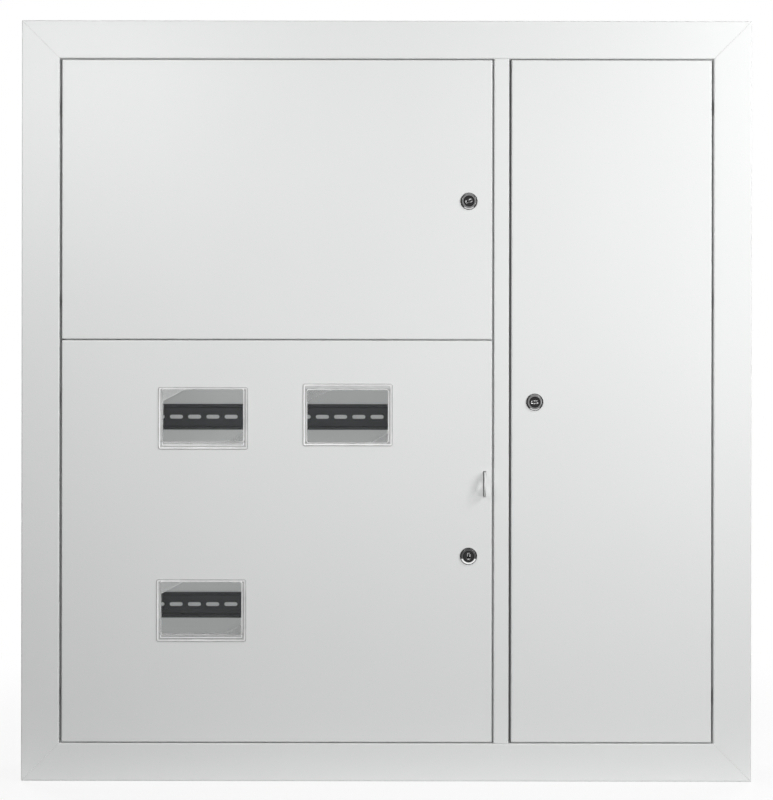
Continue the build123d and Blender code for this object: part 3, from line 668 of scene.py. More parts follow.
@dataclass(frozen=True)
class FrostedPlastic:
    """The moulding's matt corner ribs, half see-through, with a painted highlight along the slanting edge.

    Attributes:
        name: The material's name.
        cover: How much of what lies behind the rib hides.
        edge_cover: How much its slanting edge hides.
        centre: A point on the slanting edge, across and up.
        slant: The run and rise of that edge.
    """

    name: str
    cover: float
    edge_cover: float
    centre: tuple[float, float]
    slant: tuple[float, float]
    edge_core: float = 0.6 * MM
    edge_width: float = 1.0 * MM
    tone: float = 0.52
    edge_highlight_tone: float = 0.74
    clear_tone: float = 0.97
    mottle_scale: float = 700.0
    mottle_spread: float = 0.1
    roughness: float = 0.45
    roughness_spread: float = 0.2

    def material(self) -> bpy.types.Material:
        """Builds the material.

        Returns:
            The material.
        """
        sheet = ShaderSheet.of_material(self.name)
        mottle = sheet.noise(sheet.coordinates(), self.mottle_scale)
        across, _, up = sheet.split(sheet.coordinates((self.centre[0], 0.0, self.centre[1])))
        run, rise = self.slant
        length = math.hypot(run, rise)
        from_edge = abs(across * (rise / length) - up * (run / length))
        # A painted highlight along the slanting edge.
        edge = 1.0 - from_edge.between(self.edge_core, self.edge_width)
        matt = sheet.clouded(mottle, grey(self.tone), self.mottle_spread)
        frost = sheet.principled(
            {
                "Base Color": sheet.blend(edge, matt, grey(self.edge_highlight_tone)),
                "Roughness": self.roughness + self.roughness_spread * mottle,
            }
        )
        uneven = (1.0 - self.mottle_spread) + 2.0 * self.mottle_spread * mottle
        cover = (self.cover * uneven).at_least(self.edge_cover * edge)
        return sheet.output(sheet.mix(cover, sheet.clear(grey(self.clear_tone)), frost))


@dataclass(frozen=True)
class PlatedSteel:
    """Zinc-plated steel: cloudy plating with fine rolling lines along one axis.

    Attributes:
        name: The material's name.
        tone: The plating's mean linear colour.
        spread: How far the clouds move the colour, as a share of it.
        roughness: The plating's mean roughness.
        metallic: How far it reflects as bare metal does.
        gloss: The strength of its other reflections.
        lines: The stretch along each axis that turns noise into rolling lines.
    """

    name: str
    tone: Colour
    spread: float = 0.16
    roughness: float = 0.38
    metallic: float = 1.0
    gloss: float = 0.5
    lines: tuple[float, float, float] = (8.0, 900.0, 900.0)
    cloud_scale: float = 45.0
    cloud_roughness: float = 0.16
    line_roughness: float = 0.10
    line_depth: float = 0.012 * MM
    line_strength: float = 0.7

    def material(self) -> bpy.types.Material:
        """Builds the material.

        Returns:
            The material.
        """
        sheet = ShaderSheet.of_material(self.name)
        cloud = sheet.noise(sheet.coordinates(), self.cloud_scale, detail=4.0, roughness=0.6)
        rolled = sheet.noise(sheet.coordinates(scale=self.lines), scale=1.0, detail=3.0)
        clouding = self.cloud_roughness * (cloud - NOISE_MEAN)
        rolling = self.line_roughness * (rolled - NOISE_MEAN)
        return sheet.output(
            sheet.principled(
                {
                    "Base Color": sheet.clouded(cloud, self.tone, self.spread),
                    "Metallic": self.metallic,
                    "Specular IOR Level": self.gloss,
                    "Roughness": self.roughness + clouding + rolling,
                    "Normal": sheet.bump(rolled, self.line_depth, self.line_strength),
                }
            )
        )


@dataclass(frozen=True)
class MouldedPlastic:
    """Matt moulded plastic with a fine spark-eroded texture.

    Attributes:
        name: The material's name.
        tone: The plastic's linear colour on the texture's crests.
        root_share: The share of that colour in the texture's roots.
    """

    name: str
    tone: Colour
    root_share: float = 0.9
    texture_scale: float = 1800.0
    texture_depth: float = 0.02 * MM
    texture_strength: float = 0.6
    roughness: float = 0.42
    roughness_spread: float = 0.16

    def material(self) -> bpy.types.Material:
        """Builds the material.

        Returns:
            The material.
        """
        sheet = ShaderSheet.of_material(self.name)
        texture = sheet.noise(sheet.coordinates(), self.texture_scale)
        return sheet.output(
            sheet.principled(
                {
                    "Base Color": sheet.blend(texture, shaded(self.tone, self.root_share), self.tone),
                    "Roughness": self.roughness + self.roughness_spread * texture,
                    "Normal": sheet.bump(texture, self.texture_depth, self.texture_strength),
                }
            )
        )


# Modelling


@dataclass(frozen=True)
class Ring:
    """One circle of a turned form.

    Attributes:
        radius: Its radius.
        depth: Its depth behind the door's face, negative in front of it.
    """

    radius: float
    depth: float


@dataclass(frozen=True)
class Outline:
    """One outline of a moulded form.

    Attributes:
        width: Its size across.
        height: Its size up.
        rise: How far it lies above the form's centre.
        depth: Its depth behind the door's face, negative in front of it.
    """

    width: float
    height: float
    rise: float
    depth: float


class Workpiece:
    """One mesh shaped with edit-mode operators. Its object ends at the origin, its place in the mesh."""

    def __init__(self, name: str, centre: Vector) -> None:
        """Keeps the name of the piece and the point on the door's face that its outlines lie about.

        Args:
            name: The piece's name.
            centre: Where the piece's own axis meets the door's face.
        """
        self.name = name
        self.centre = centre
        self.depth = 0.0
        bpy.ops.object.select_all(action="DESELECT")

    def _adopt(self) -> None:
        """Names the new primitive, applies its place and opens it for editing with all of it selected."""
        self.object = bpy.context.active_object
        self.object.name = self.name
        self.object.data.name = self.name
        bpy.ops.object.transform_apply(location=True, rotation=True, scale=True)
        bpy.ops.object.mode_set(mode="EDIT")
        bpy.ops.mesh.select_mode(type="VERT")
        bpy.ops.mesh.select_all(action="SELECT")

    def start_circle(self, ring: Ring, sides: int) -> None:
        """Starts with a circle of edges that faces the front.

        Args:
            ring: The circle's radius and depth.
            sides: How many edges it has. No vertex lies straight above or beside the centre.
        """
        self.depth = ring.depth
        half_step = math.pi / sides
        bpy.ops.mesh.primitive_circle_add(
            vertices=sides,
            radius=ring.radius,
            fill_type="NOTHING",
            location=self.centre + Vector((0.0, ring.depth, 0.0)),
            rotation=(math.pi / 2, half_step, 0.0),
        )
        self._adopt()

    def start_plate(self, width: float, height: float, corner: float, depth: float) -> None:
        """Starts with the outline of a plate with round corners that faces the front.

        Args:
            width: Its size across.
            height: Its size up.
            corner: The radius of its corners.
            depth: Its depth behind the door's face.
        """
        self.depth = depth
        bpy.ops.mesh.primitive_plane_add(
            size=1.0,
            location=self.centre + Vector((0.0, depth, 0.0)),
            rotation=(math.pi / 2, 0.0, 0.0),
        )
        bpy.context.active_object.scale = (width, height, 1.0)
        self._adopt()
        bpy.ops.mesh.bevel(offset=corner, segments=CORNER_SEGMENTS, affect="VERTICES")
        bpy.ops.mesh.select_all(action="SELECT")
        bpy.ops.mesh.delete(type="ONLY_FACE")
        bpy.ops.mesh.select_all(action="SELECT")

    def extrude(self, depth: float) -> None:
        """Draws the selected outline on to another depth.

        Args:
            depth: The new depth behind the door's face.
        """
        step = (0.0, depth - self.depth, 0.0)
        bpy.ops.mesh.extrude_region_move(TRANSFORM_OT_translate={"value": step})
        self.depth = depth

    def resize(self, across: float, up: float, about: Optional[Vector] = None) -> None:
        """Scales what is selected along X and Z, about a point or else about the piece's centre."""
        bpy.ops.transform.resize(value=(across, 1.0, up), center_override=about or self.centre)

    def lift(self, distance: float) -> None:
        """Moves what is selected straight up."""
        bpy.ops.transform.translate(value=(0.0, 0.0, distance))

    def turn_through(self, start: Ring, rings: Sequence[Ring]) -> None:
        """Draws a circle through one ring after another.

        Args:
            start: The ring that is selected now.
            rings: The rings that follow.
        """
        last = start
        for ring in rings:
            self.extrude(ring.depth)
            self.resize(ring.radius / last.radius, ring.radius / last.radius)
            last = ring

    def choose(self, wanted: Callable[[int, Vector], bool]) -> None:
        """Selects the vertices that are wanted.

        Args:
            wanted: Says yes or no to a vertex, from its number and its place from the piece's centre.
        """
        mesh = bmesh.from_edit_mesh(self.object.data)
        for vertex in mesh.verts:
            vertex.select_set(wanted(vertex.index, vertex.co - self.centre))
        mesh.select_flush_mode()
        bmesh.update_edit_mesh(self.object.data)

    def selection(self) -> set[int]:
        """Lists what is selected.

        Returns:
            The numbers of the selected vertices.
        """
        mesh = bmesh.from_edit_mesh(self.object.data)
        mesh.verts.index_update()
        return {vertex.index for vertex in mesh.verts if vertex.select}

    def close(self) -> None:
        """Merges outlines that meet, caps open ends and turns all faces outwards."""
        bpy.ops.mesh.select_all(action="SELECT")
        bpy.ops.mesh.remove_doubles(threshold=MERGE_DISTANCE)
        bpy.ops.mesh.select_all(action="DESELECT")
        bpy.ops.mesh.select_non_manifold()
        bpy.ops.mesh.fill_holes(sides=0)
        bpy.ops.mesh.select_all(action="SELECT")
        bpy.ops.mesh.normals_make_consistent(inside=False)

    def finish(self, round_over: float = 0.0, smooth: float = SHARP_ANGLE) -> bpy.types.Object:
        """Leaves edit mode, rounds sharp edges and smooths the shading.

        Args:
            round_over: The width of the rounding, or 0 for none.
            smooth: The steepest edge that is shaded smooth.

        Returns:
            The finished object.
        """
        bpy.ops.object.mode_set(mode="OBJECT")
        if round_over > 0.0:
            bevel = self.object.modifiers.new("round_over", "BEVEL")
            bevel.width = round_over
            bevel.segments = ROUND_OVER_SEGMENTS
            bevel.limit_method = "ANGLE"
            bevel.angle_limit = SHARP_ANGLE
            bpy.ops.object.modifier_apply(modifier=bevel.name)
        bpy.ops.object.shade_smooth_by_angle(angle=smooth)
        return self.object


def hand_over(piece: bpy.types.Object, body: str, coating: Coating, *nodes: str) -> None:
    """Puts a finished piece on its body in place of the nodes that it stands for.

    Args:
        piece: The finished object.
        body: The body that it moves with.
        coating: The record's slot for its finish; not used.
        nodes: The nodes that it replaces.
    """
    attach(piece, body)
    if nodes:
        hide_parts(*nodes)
    LOG.info("%s rides on %s, %d faces", piece.name, body, len(piece.data.polygons))


def placed(pattern: bpy.types.Object, name: str, centre: Vector) -> bpy.types.Object:
    """Copies a pattern that was modelled about the origin to its place.

    Args:
        pattern: The modelled piece.
        name: The copy's name.
        centre: Where the pattern's origin goes.

    Returns:
        The copy, with a mesh of its own.
    """
    bpy.ops.object.select_all(action="DESELECT")
    pattern.select_set(True)
    bpy.context.view_layer.objects.active = pattern
    bpy.ops.object.duplicate(linked=False)
    copy = bpy.context.active_object
    copy.name = name
    copy.data.name = name
    copy.location = centre
    bpy.ops.object.transform_apply(location=True, rotation=True, scale=True)
    return copy


def dress(piece: bpy.types.Object, material: bpy.types.Material) -> None:
    """Gives an object one material all over.

    Args:
        piece: The object.
        material: Its material.
    """
    if not piece.material_slots:
        piece.data.materials.append(material)
    for slot in piece.material_slots:
        slot.material = material


# Sub-assemblies


@dataclass
class CamLock:
    """A cam lock's turned housing and its plug with a dished key slot, at the place of their nodes.

    Attributes:
        place: The door that it is set in.
        key_angle: The turn of the key slot from level, in degrees.
        shine: Its painted reflections and highlights.
    """

    place: LockPlace
    key_angle: float
    shine: PaintedLockShine = PaintedLockShine()
    sides: int = 72
    bevel: float = 2.0 * MM
    bezel_edge: float = 0.9 * MM
    corner: float = 0.16 * MM
    barrel_radius: float = 8.9 * MM
    barrel_flats: float = 15.8 * MM
    thread_pitch: float = 1.0 * MM
    thread_deep: float = 0.45 * MM
    thread_start: float = 2.0 * MM
    groove_radius: float = 8.55 * MM
    groove: float = 0.12 * MM
    bore_chamfer: float = 0.3 * MM
    plug_radius: float = 7.0 * MM
    plug_bore: float = 7.05 * MM
    plug_chamfer: float = 0.4 * MM
    plug_square: float = 7.0 * MM
    square_length: float = 1.9 * MM
    screw_hole: float = 1.8 * MM
    screw_deep: float = 8.3 * MM
    slot_length: float = 6.4 * MM
    slot_width: float = 1.6 * MM
    slot_deep: float = 9.0 * MM
    dish: float = 1.8 * MM

    def __post_init__(self) -> None:
        """Reads the lock's place and outer sizes from its nodes."""
        self.housing_node = f"{self.place.value}_lock_housing"
        self.plug_node = f"{self.place.value}_lock_plug"
        self.door = f"{self.place.value}_door"
        self.turning_body = f"{self.place.value}_lock"
        low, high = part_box(self.housing_node)
        door_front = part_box(f"{self.place.value}_door_panel")[0].y
        self.centre = Vector(((low.x + high.x) / 2, door_front, (low.z + high.z) / 2))
        self.bezel_radius = (high.x - low.x) / 2
        self.crest = self.bezel_radius - self.bevel
        self.face = low.y - door_front
        self.rear = high.y - door_front
        plug_low, plug_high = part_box(self.plug_node)
        self.plug_face = plug_low.y - door_front
        self.plug_end = plug_high.y - door_front

    def build(self, housing_pattern: bpy.types.Object) -> None:
        """Builds both pieces, dresses them and hands them over.

        Args:
            housing_pattern: The housing, modelled about the origin.
        """
        name = self.place.value
        finish = DarkNickel(
            name=f"{name}_lock_nickel",
            axis=(self.centre.x, self.centre.y + self.plug_face, self.centre.z),
            ring_inside=self.plug_bore + self.bore_chamfer,
            ring_outside=self.crest,
            mouth=self.dish,
            shine=self.shine,
        ).material()
        housing = placed(housing_pattern, f"{name}_lock_bezel", self.centre)
        dress(housing, finish)
        hand_over(housing, self.door, Coating.LOCK_METAL, self.housing_node)
        plug = self._model_plug()
        dress(plug, finish)
        hand_over(plug, self.turning_body, Coating.LOCK_METAL, self.plug_node)

    def _thread(self) -> list[Ring]:
        """Lists the crests and roots of the barrel's thread.

        Returns:
            The rings from the barrel's rear end to the bezel.
        """
        rings = []
        depth = self.rear - self.thread_deep
        while depth > self.thread_start:
            rings.append(Ring(self.barrel_radius, depth))
            rings.append(Ring(self.barrel_radius - self.thread_deep, depth - self.thread_pitch / 2))
            depth -= self.thread_pitch
        return rings

    def model_housing(self) -> bpy.types.Object:
        """Turns the bezel and the threaded barrel round the bore.

        Returns:
            The housing about the origin, as a pattern to copy.
        """
        work = Workpiece("lock_bezel_pattern", Vector())
        bore = Ring(self.plug_bore, self.rear)
        profile = [
            Ring(self.barrel_radius - self.thread_deep, self.rear),
            *self._thread(),
            Ring(self.barrel_radius, self.thread_start / 2),
            Ring(self.barrel_radius, 0.0),
            Ring(self.bezel_radius, 0.0),
            Ring(self.bezel_radius, self.corner - self.bezel_edge),
            Ring(self.bezel_radius - self.corner / 2, -self.bezel_edge - self.corner / 2),
            Ring(self.crest + self.corner, self.face + self.corner),
            Ring(self.crest - self.corner, self.face),
            Ring(self.groove_radius + self.groove, self.face),
            Ring(self.groove_radius, self.face + self.groove),
            Ring(self.groove_radius - self.groove, self.face),
            Ring(self.plug_bore + self.bore_chamfer, self.face),
            Ring(self.plug_bore, self.face + self.bore_chamfer),
            bore,
        ]
        work.start_circle(bore, self.sides)
        work.turn_through(bore, profile)
        work.close()
        half = self.barrel_flats / 2
        for side in BOTH_WAYS:
            work.choose(lambda _, spot: spot.y > MERGE_DISTANCE and side * spot.x > half)
            work.resize(0.0, 1.0, Vector((side * half, 0.0, 0.0)))
        return work.finish()

    def _model_plug(self) -> bpy.types.Object:
        """Turns the plug from its screw hole round to the key slot.

        Returns:
            The plug in its place.
        """
        work = Workpiece(f"{self.place.value}_lock_key_plug", self.centre)
        hole_end = Ring(self.screw_hole, self.plug_end - self.screw_deep)
        square = Ring(self.plug_square / math.sqrt(2.0), self.plug_end)
        shoulder = self.plug_end - self.square_length
        work.start_circle(hole_end, self.sides)
        work.turn_through(hole_end, [Ring(self.screw_hole, self.plug_end), square])
        square_rim = work.selection()
        work.extrude(shoulder)
        square_foot = work.selection()
        body = [
            Ring(self.plug_radius, shoulder),
            Ring(self.plug_radius, self.plug_face + self.plug_chamfer),
            Ring(self.plug_radius - self.plug_chamfer, self.plug_face),
        ]
        work.turn_through(square, body)
        self._key_slot(work, body[-1])
        half = self.plug_square / 2
        for side in BOTH_WAYS:
            self._flatten(work, square_rim | square_foot, Vector((side * half, 0.0, 0.0)))
            self._flatten(work, square_rim | square_foot, Vector((0.0, 0.0, side * half)))
        work.close()
        return work.finish()

    @staticmethod
    def _flatten(work: Workpiece, members: set[int], flat: Vector) -> None:
        """Presses the numbered vertices that stand past a flat back on to it."""
        work.choose(lambda number, spot: number in members and spot.dot(flat) > flat.dot(flat))
        work.resize(0.0 if flat.x else 1.0, 0.0 if flat.z else 1.0, work.centre + flat)

    def _key_slot(self, work: Workpiece, face: Ring) -> None:
        """Sinks the dished key slot into the plug's face.

        Args:
            work: The piece, with the edge of its face selected.
            face: The ring that is selected.
        """
        angle = math.radians(self.key_angle)
        along = Vector((math.cos(angle), 0.0, math.sin(angle)))
        half_spread = (self.slot_length - self.slot_width) / 2
        narrow = self.slot_width / 2
        wide = narrow + self.dish
        work.extrude(self.plug_face)
        work.resize(wide / face.radius, wide / face.radius)
        rim = work.selection()
        for side in BOTH_WAYS:
            work.choose(lambda number, spot: number in rim and side * spot.dot(along) > 0.0)
            bpy.ops.transform.translate(value=side * half_spread * along)
        work.choose(lambda number, _: number in rim)
        work.extrude(self.plug_face + self.dish)
        rim = work.selection()
        for side in BOTH_WAYS:
            work.choose(lambda number, spot: number in rim and side * spot.dot(along) > 0.0)
            work.resize(narrow / wide, narrow / wide, self.centre + side * half_spread * along)
        work.choose(lambda number, _: number in rim)
        work.extrude(self.plug_face + self.slot_deep)


@dataclass
class ReadingWindow:
    """A clear moulded window with a rim, a raised pane, a skirt and two corner ribs.

    Attributes:
        node: The node that it stands for.
        frosted: Whether the rib at the upper left is matt.
        field_rise: How far the clear field lies above the middle of the rim.
    """

    node: str
    frosted: bool
    field_rise: float
    door: str = "lower_door"
    rim: float = 1.3 * MM
    rim_chamfer: float = 0.6 * MM
    skirt_inset: float = 9.0 * MM
    skirt_inset_up: float = 10.5 * MM
    slope: float = 1.5 * MM
    corner: float = 4.0 * MM
    wall: float = 1.6 * MM
    pane: float = 1.8 * MM
    round_over: float = 0.25 * MM
    rib_width: float = 30.0 * MM
    rib_height: float = 16.0 * MM
    small_rib: float = 0.78
    rib: float = 0.4 * MM
    frosted_cover: tuple[float, float] = (0.75, 0.90)
    plain_cover: tuple[float, float] = (0.20, 0.26)

    def __post_init__(self) -> None:
        """Reads the window's place and outer sizes from its node."""
        low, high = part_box(self.node)
        door_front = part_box(f"{self.door}_panel")[0].y
        self.centre = Vector(((low.x + high.x) / 2, door_front, (low.z + high.z) / 2))
        self.width = high.x - low.x
        self.height = high.z - low.z
        self.front = low.y - door_front
        self.skirt = high.y - door_front
        self.field = self.centre + Vector((0.0, 0.0, self.field_rise))
        self.clear_half = (
            (self.width - self.skirt_inset) / 2 - self.wall,
            (self.height - self.skirt_inset_up) / 2 - self.wall,
        )

    def build(self, moulding: bpy.types.Object, ribs: Mapping[RibCorner, bpy.types.Object]) -> None:
        """Builds the window from its patterns, dresses it and hands it over.

        Args:
            moulding: The moulding, with the middle of its field at the origin.
            ribs: The rib of each corner, modelled about the same origin.
        """
        body = placed(moulding, f"{self.node}_moulding", self.field)
        clear = ClearPlastic(
            name=f"{self.node}_plastic",
            centre=(self.centre.x, self.centre.z),
            field_rise=self.field_rise,
            pane=self.clear_half,
            rim=(self.width / 2, self.height / 2),
            corner=self.corner - self.slope,
            wall=self.wall,
        ).material()
        dress(body, clear)
        dress(frame["nodes"][self.node], clear)
        hand_over(body, self.door, Coating.CLEAR_PLASTIC, self.node)
        for corner, pattern in ribs.items():
            name = f"{self.node}_{corner.name.lower()}_rib"
            rib = placed(pattern, name, self.field)
            middle = self.field + self._rib_middle(corner)
            frosted = self.frosted and corner is RibCorner.UPPER_LEFT
            cover, edge_cover = self.frosted_cover if frosted else self.plain_cover
            finish = FrostedPlastic(name, cover, edge_cover, (middle.x, middle.z), self._rib_size(corner))
            dress(rib, finish.material())
            hand_over(rib, self.door, Coating.CLEAR_PLASTIC)

    def model_moulding(self) -> bpy.types.Object:
        """Draws the outline with round corners from the pane over the rim and the skirt.

        Returns:
            The moulding with the middle of its field at the origin, as a pattern to copy.
        """
        skirt_width = self.width - self.skirt_inset
        skirt_height = self.height - self.skirt_inset_up
        pane_width = skirt_width - 2 * self.slope
        pane_height = skirt_height - 2 * self.slope
        inner_width = skirt_width - 2 * self.wall
        inner_height = skirt_height - 2 * self.wall
        rim_front_width = self.width - 2 * self.rim_chamfer
        rim_front_height = self.height - 2 * self.rim_chamfer
        below = -self.field_rise
        outlines = [
            Outline(skirt_width, skirt_height, 0.0, -self.rim),
            Outline(rim_front_width, rim_front_height, below, -self.rim),
            Outline(self.width, self.height, below, self.rim_chamfer - self.rim),
            Outline(self.width, self.height, below, 0.0),
            Outline(skirt_width, skirt_height, 0.0, 0.0),
            Outline(skirt_width, skirt_height, 0.0, self.skirt),
            Outline(inner_width, inner_height, 0.0, self.skirt),
            Outline(inner_width, inner_height, 0.0, self.front + self.pane),
        ]
        work = Workpiece("window_moulding_pattern", Vector())
        work.start_plate(pane_width, pane_height, self.corner - self.slope, self.front)
        last = Outline(pane_width, pane_height, 0.0, self.front)
        for outline in outlines:
            work.extrude(outline.depth)
            work.lift(-last.rise)
            work.resize(outline.width / last.width, outline.height / last.height)
            work.lift(outline.rise)
            last = outline
        work.close()
        return work.finish(self.round_over, FLAT_ANGLE)

    def _rib_size(self, corner: RibCorner) -> tuple[float, float]:
        """Returns the width and height of a corner rib, which is smaller at the lower right."""
        share = 1.0 if corner is RibCorner.UPPER_LEFT else self.small_rib
        return share * self.rib_width, share * self.rib_height

    def _rib_middle(self, corner: RibCorner) -> Vector:
        """Finds the middle of a corner rib.

        Args:
            corner: The corner that the rib stands in.

        Returns:
            The rib's middle, counted from the middle of the clear field.
        """
        width, height = self._rib_size(corner)
        across = corner.value * (width / 2 - self.clear_half[0])
        up = corner.value * (self.clear_half[1] - height / 2)
        return Vector((across, self.front + self.pane, up))

    def model_rib(self, corner: RibCorner) -> bpy.types.Object:
        """Cuts a plate on the slant to a corner rib behind the pane.

        Args:
            corner: The corner that the rib stands in.

        Returns:
            The rib, with the middle of the clear field at the origin, as a pattern to copy.
        """
        width, height = self._rib_size(corner)
        work = Workpiece(f"{corner.name.lower()}_rib_pattern", self._rib_middle(corner))
        work.start_plate(width, height, self.corner / 2, 0.0)
        work.extrude(self.rib)
        work.close()
        bpy.ops.mesh.bisect(
            plane_co=work.centre,
            plane_no=(corner.value * height, 0.0, -corner.value * width),
            use_fill=True,
            clear_outer=True,
            threshold=MERGE_DISTANCE,
        )
        work.close()
        return work.finish()


@dataclass
class Cabinet:
    """All nodes that keep their own solids, each dressed with the finish of its record slot.

    Attributes:
        coat: The powder coat's linear colour.
        casing_lit_coat: A lighter copy of the coat for the casing: painted light that brightens the wall
            seen through the windows.
        rail: The linear colour of the rails behind the windows.
        post_lip: How far the post's fold reaches in from its right edge.
        fold_height: How far the fold stands in front of the post's rear.
        fold_behind_door: How far the painted shade in the fold reaches behind the side door.
    """

    coat: Colour = (0.712, 0.722, 0.717, 1.0)
    casing_lit_coat: Colour = (0.800, 0.808, 0.804, 1.0)
    rail: Colour = (0.042, 0.045, 0.048, 1.0)
    fittings: Colour = (0.30, 0.30, 0.30, 1.0)
    zinc: Colour = (0.60, 0.61, 0.62, 1.0)
    brass: Colour = (0.76, 0.53, 0.20, 1.0)
    blue: Colour = (0.03, 0.09, 0.42, 1.0)
    green: Colour = (0.03, 0.26, 0.05, 1.0)
    post_lip: float = 15.0 * MM
    fold_height: float = 4.5 * MM
    fold_behind_door: float = 0.6 * MM

    def finishes(self) -> dict[Coating, bpy.types.Material]:
        """Builds the finishes of the slots.

        Returns:
            One material for each coating but the clear plastic, which each window has its own of.
        """
        finishes = {
            Coating.GREY_COAT: PowderCoat("grey_powder_coat", self.coat),
            Coating.LOCK_METAL: PlatedSteel("lock_fittings", self.fittings, roughness=0.30),
            Coating.DARK_ZINC: PlatedSteel(
                "dark_zinc_rail", self.rail, spread=0.2, roughness=0.46, metallic=0.30, gloss=0.18
            ),
            Coating.ZINC_STEEL: PlatedSteel("zinc_plating", self.zinc),
            Coating.BRASS: PlatedSteel("drawn_brass", self.brass, spread=0.08, roughness=0.30),
            Coating.BLUE_PLASTIC: MouldedPlastic("blue_insulator", self.blue),
            Coating.GREEN_PLASTIC: MouldedPlastic("green_insulator", self.green),
        }
        return {coating: finish.material() for coating, finish in finishes.items()}

    def trim_coat(self) -> bpy.types.Material:
        """Builds the coat of the trim strips, which meet in mitres at the board's corners."""
        _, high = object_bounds()
        return PowderCoat("mitred_powder_coat", self.coat, mitre=(high.x, high.z)).material()

    def post_coat(self) -> bpy.types.Material:
        """Builds the coat of the post, with painted shade in its fold beside the side door.

        Returns:
            The coat with the dark fold.
        """
        _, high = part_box("centre_post")
        door_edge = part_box("side_door_panel")[0].x
        # Painted shade in the post's fold, which shows in the gap beside the side door.
        fold = (high.x - self.post_lip, door_edge + self.fold_behind_door, high.y - self.fold_height)
        return PowderCoat("post_powder_coat", self.coat, fold=fold).material()

    def dress_nodes(self) -> None:
        """Gives every node its finish. The trim strips, the post and the casing have coats of their own."""
        finishes = self.finishes()
        trim = self.trim_coat()
        # The casing's lighter coat is painted light on the inside wall.
        casing = PowderCoat("casing_powder_coat", self.casing_lit_coat).material()
        own = {"centre_post": self.post_coat(), "casing": casing}
        for subpart in frame["record"]["subparts"]:
            name = subpart["node"]
            coating = Coating(subpart["material_slot"])
            if coating is Coating.CLEAR_PLASTIC:
                continue
            material = trim if name.startswith("trim_") else own.get(name, finishes[coating])
            dress(frame["nodes"][name], material)
            LOG.info("%s is dressed in %s", name, material.name)


# Studio


@dataclass
class Lamp:
    """One round, soft area lamp that points at a spot.

    Attributes:
        name: Its name.
        place: Where it stands, in metres.
        aim: The spot that it points at.
        size: Its diameter.
        power: Its power in watts.
        in_gloss: Whether shiny surfaces show it.
    """

    name: str
    place: Vector
    aim: Vector
    size: float
    power: float
    in_gloss: bool = True

    def build(self) -> None:
        """Adds the lamp to the scene."""
        light = bpy.data.lights.new(self.name, "AREA")
        light.shape = "DISK"
        light.size = self.size
        light.energy = self.power
        lamp = bpy.data.objects.new(self.name, light)
        lamp.location = self.place
        lamp.rotation_euler = (self.aim - self.place).to_track_quat("-Z", "Y").to_euler()
        lamp.visible_camera = False
        lamp.visible_glossy = self.in_gloss
        lamp.visible_transmission = self.in_gloss
        bpy.context.scene.collection.objects.link(lamp)


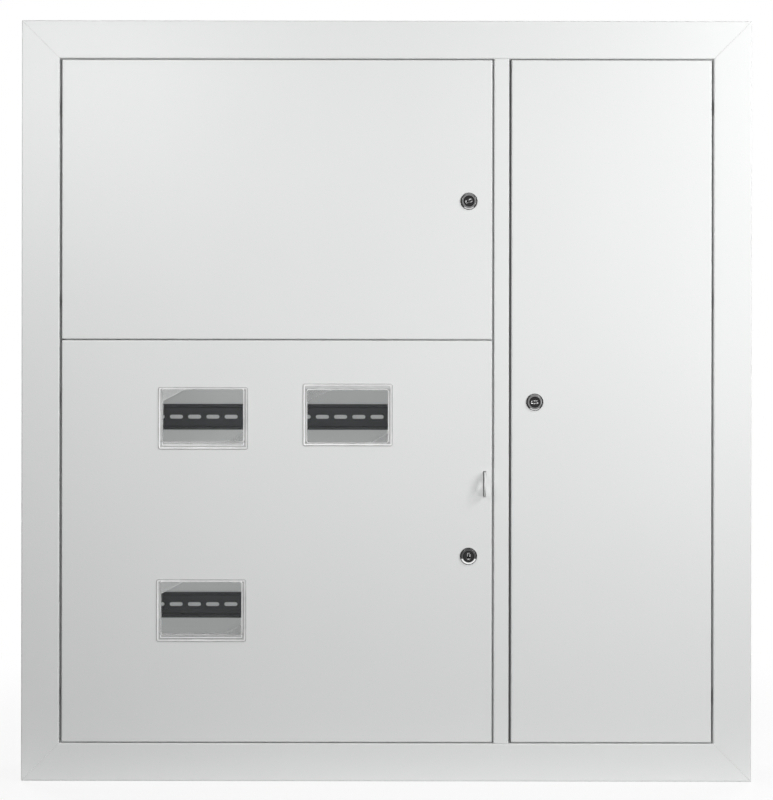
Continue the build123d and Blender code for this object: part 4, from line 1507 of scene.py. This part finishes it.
@dataclass
class Studio:
    """A white studio: a pale floor, soft lamps and the camera straight in front of the board.

    Attributes:
        low: The object's lowest corner.
        high: The object's highest corner.
    """

    low: Vector
    high: Vector
    floor_size: float = 14.0
    floor_gap: float = 0.4 * MM
    floor_tone: float = 0.85
    shadow_share: float = 0.16
    shadow_reach: float = 1.1
    floor_bounce: float = 0.12
    foot_bounce: float = 0.70
    foot_reach: float = 0.09
    sky: float = 0.06
    camera_distance: float = 1.95
    camera_height: float = 1.3 * MM
    lens: float = 66.78
    roll: float = -0.078

    def __post_init__(self) -> None:
        """Reads where the front of the trim lies."""
        self.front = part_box("trim_top")[0].y

    def build(self) -> None:
        """Builds the floor, the light and the camera."""
        bpy.context.scene.view_settings.view_transform = "Standard"
        self._floor()
        self._world()
        for lamp in self._lamps():
            lamp.build()
        self._camera()

    def _lamps(self) -> list[Lamp]:
        """Lists the lamps: one at the camera, a key at the right, two above and two behind.

        Returns:
            The lamps.
        """
        board = Vector((0.0, self.front, 0.0))
        return [
            Lamp("fill", Vector((0.0, -2.15, 0.0)), board, size=0.08, power=17.5, in_gloss=False),
            Lamp("key", Vector((1.08, -1.15, 0.09)), board, size=0.60, power=5.8),
            Lamp("upper_left", Vector((-0.58, -0.90, 0.62)), board, size=0.40, power=3.2),
            Lamp("upper_right", Vector((0.96, -0.80, 0.75)), board, size=0.40, power=5.75),
            Lamp("back_left", Vector((-1.60, 1.60, 1.10)), board, size=1.20, power=30.0),
            Lamp("back_right", Vector((1.60, 1.60, 1.10)), board, size=1.20, power=30.0),
        ]

    @staticmethod
    def _seen(sheet: ShaderSheet) -> Signal:
        """Returns 1 for rays from the camera, from gloss and through clear pieces, and 0 for others."""
        return sheet.rays("Camera").at_least(sheet.rays("Glossy")).at_least(sheet.rays("Transmission"))

    def _floor(self) -> None:
        """Lays the floor, white to the eye but for the object's shadow near it."""
        bpy.ops.object.select_all(action="DESELECT")
        bpy.ops.mesh.primitive_plane_add(
            size=self.floor_size, location=(0.0, 0.0, self.low.z - self.floor_gap)
        )
        floor = bpy.context.active_object
        floor.name = "studio_floor"
        bpy.ops.object.transform_apply(location=True, rotation=True, scale=True)
        sheet = ShaderSheet.of_material("studio_floor")
        across, back, _ = sheet.split(sheet.coordinates())
        far = (across * across + back * back).root().between(self.high.x, self.shadow_reach)
        white = self._seen(sheet) * (1.0 - self.shadow_share * (1.0 - far))
        beyond = (self.low.y - back).between(0.0, self.foot_reach)
        bounce = sheet.blend(beyond, grey(self.foot_bounce), grey(self.floor_bounce))
        tone = sheet.blend(sheet.rays("Diffuse"), grey(self.floor_tone), bounce)
        pale = sheet.node("ShaderNodeBsdfDiffuse", None, {"Color": tone})
        glow = sheet.node("ShaderNodeEmission", None, {"Color": grey(1.0), "Strength": 1.0})
        lit = Signal(sheet, pale.outputs["BSDF"])
        dress(floor, sheet.output(sheet.mix(white, lit, Signal(sheet, glow.outputs["Emission"]))))
        floor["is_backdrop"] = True

    def _world(self) -> None:
        """Makes the surroundings white to the eye and a soft light for the rest."""
        world = bpy.data.worlds.new("white_studio")
        bpy.context.scene.world = world
        sheet = ShaderSheet(world)
        strength = self.sky + (1.0 - self.sky) * self._seen(sheet)
        backdrop = sheet.node("ShaderNodeBackground", None, {"Color": grey(1.0), "Strength": strength})
        sheet.node("ShaderNodeOutputWorld", None, {"Surface": Signal(sheet, backdrop.outputs["Background"])})

    def _camera(self) -> None:
        """Sets the camera straight in front of the board, with the small roll of the picture."""
        data = bpy.data.cameras.new("front_camera")
        data.lens = self.lens
        camera = bpy.data.objects.new("front_camera", data)
        camera.location = (0.0, self.front - self.camera_distance, self.camera_height)
        camera.rotation_euler = (math.pi / 2, math.radians(self.roll), 0.0)
        bpy.context.scene.collection.objects.link(camera)
        bpy.context.scene.camera = camera


def main() -> None:
    """Builds the board's pieces in order, dresses them and lights them."""
    logging.basicConfig(level=logging.INFO, format="%(name)s: %(message)s")
    cad_low, cad_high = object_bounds()
    bpy.ops.object.select_all(action="DESELECT")

    Cabinet().dress_nodes()

    # The lower lock gets a darker painted ring reflection and a wide painted highlight at the bottom of its
    # bevel.
    painted_crescent = PaintedLockShine(ring=0.10, above=0.08, below=0.95, inset=1.0 * MM, width=2.2 * MM, turn=0.36)
    locks = [
        CamLock(LockPlace.UPPER, key_angle=20.0),
        CamLock(LockPlace.LOWER, key_angle=82.0, shine=painted_crescent),
        CamLock(LockPlace.SIDE, key_angle=0.0),
    ]
    housing = locks[0].model_housing()
    for lock in locks:
        lock.build(housing)

    raised = 3.8 * MM
    lowered = -1.6 * MM
    windows = [
        ReadingWindow("window_upper_left", frosted=True, field_rise=raised),
        ReadingWindow("window_upper_right", frosted=False, field_rise=lowered),
        ReadingWindow("window_lower", frosted=True, field_rise=raised),
    ]
    ribs = {corner: windows[0].model_rib(corner) for corner in RibCorner}
    mouldings: dict[float, bpy.types.Object] = {}
    for window in windows:
        if window.field_rise not in mouldings:
            mouldings[window.field_rise] = window.model_moulding()
        window.build(mouldings[window.field_rise], ribs)

    for pattern in (housing, *mouldings.values(), *ribs.values()):
        bpy.data.objects.remove(pattern, do_unlink=True)

    Studio(cad_low, cad_high).build()


if __name__ == "__main__":
    main()
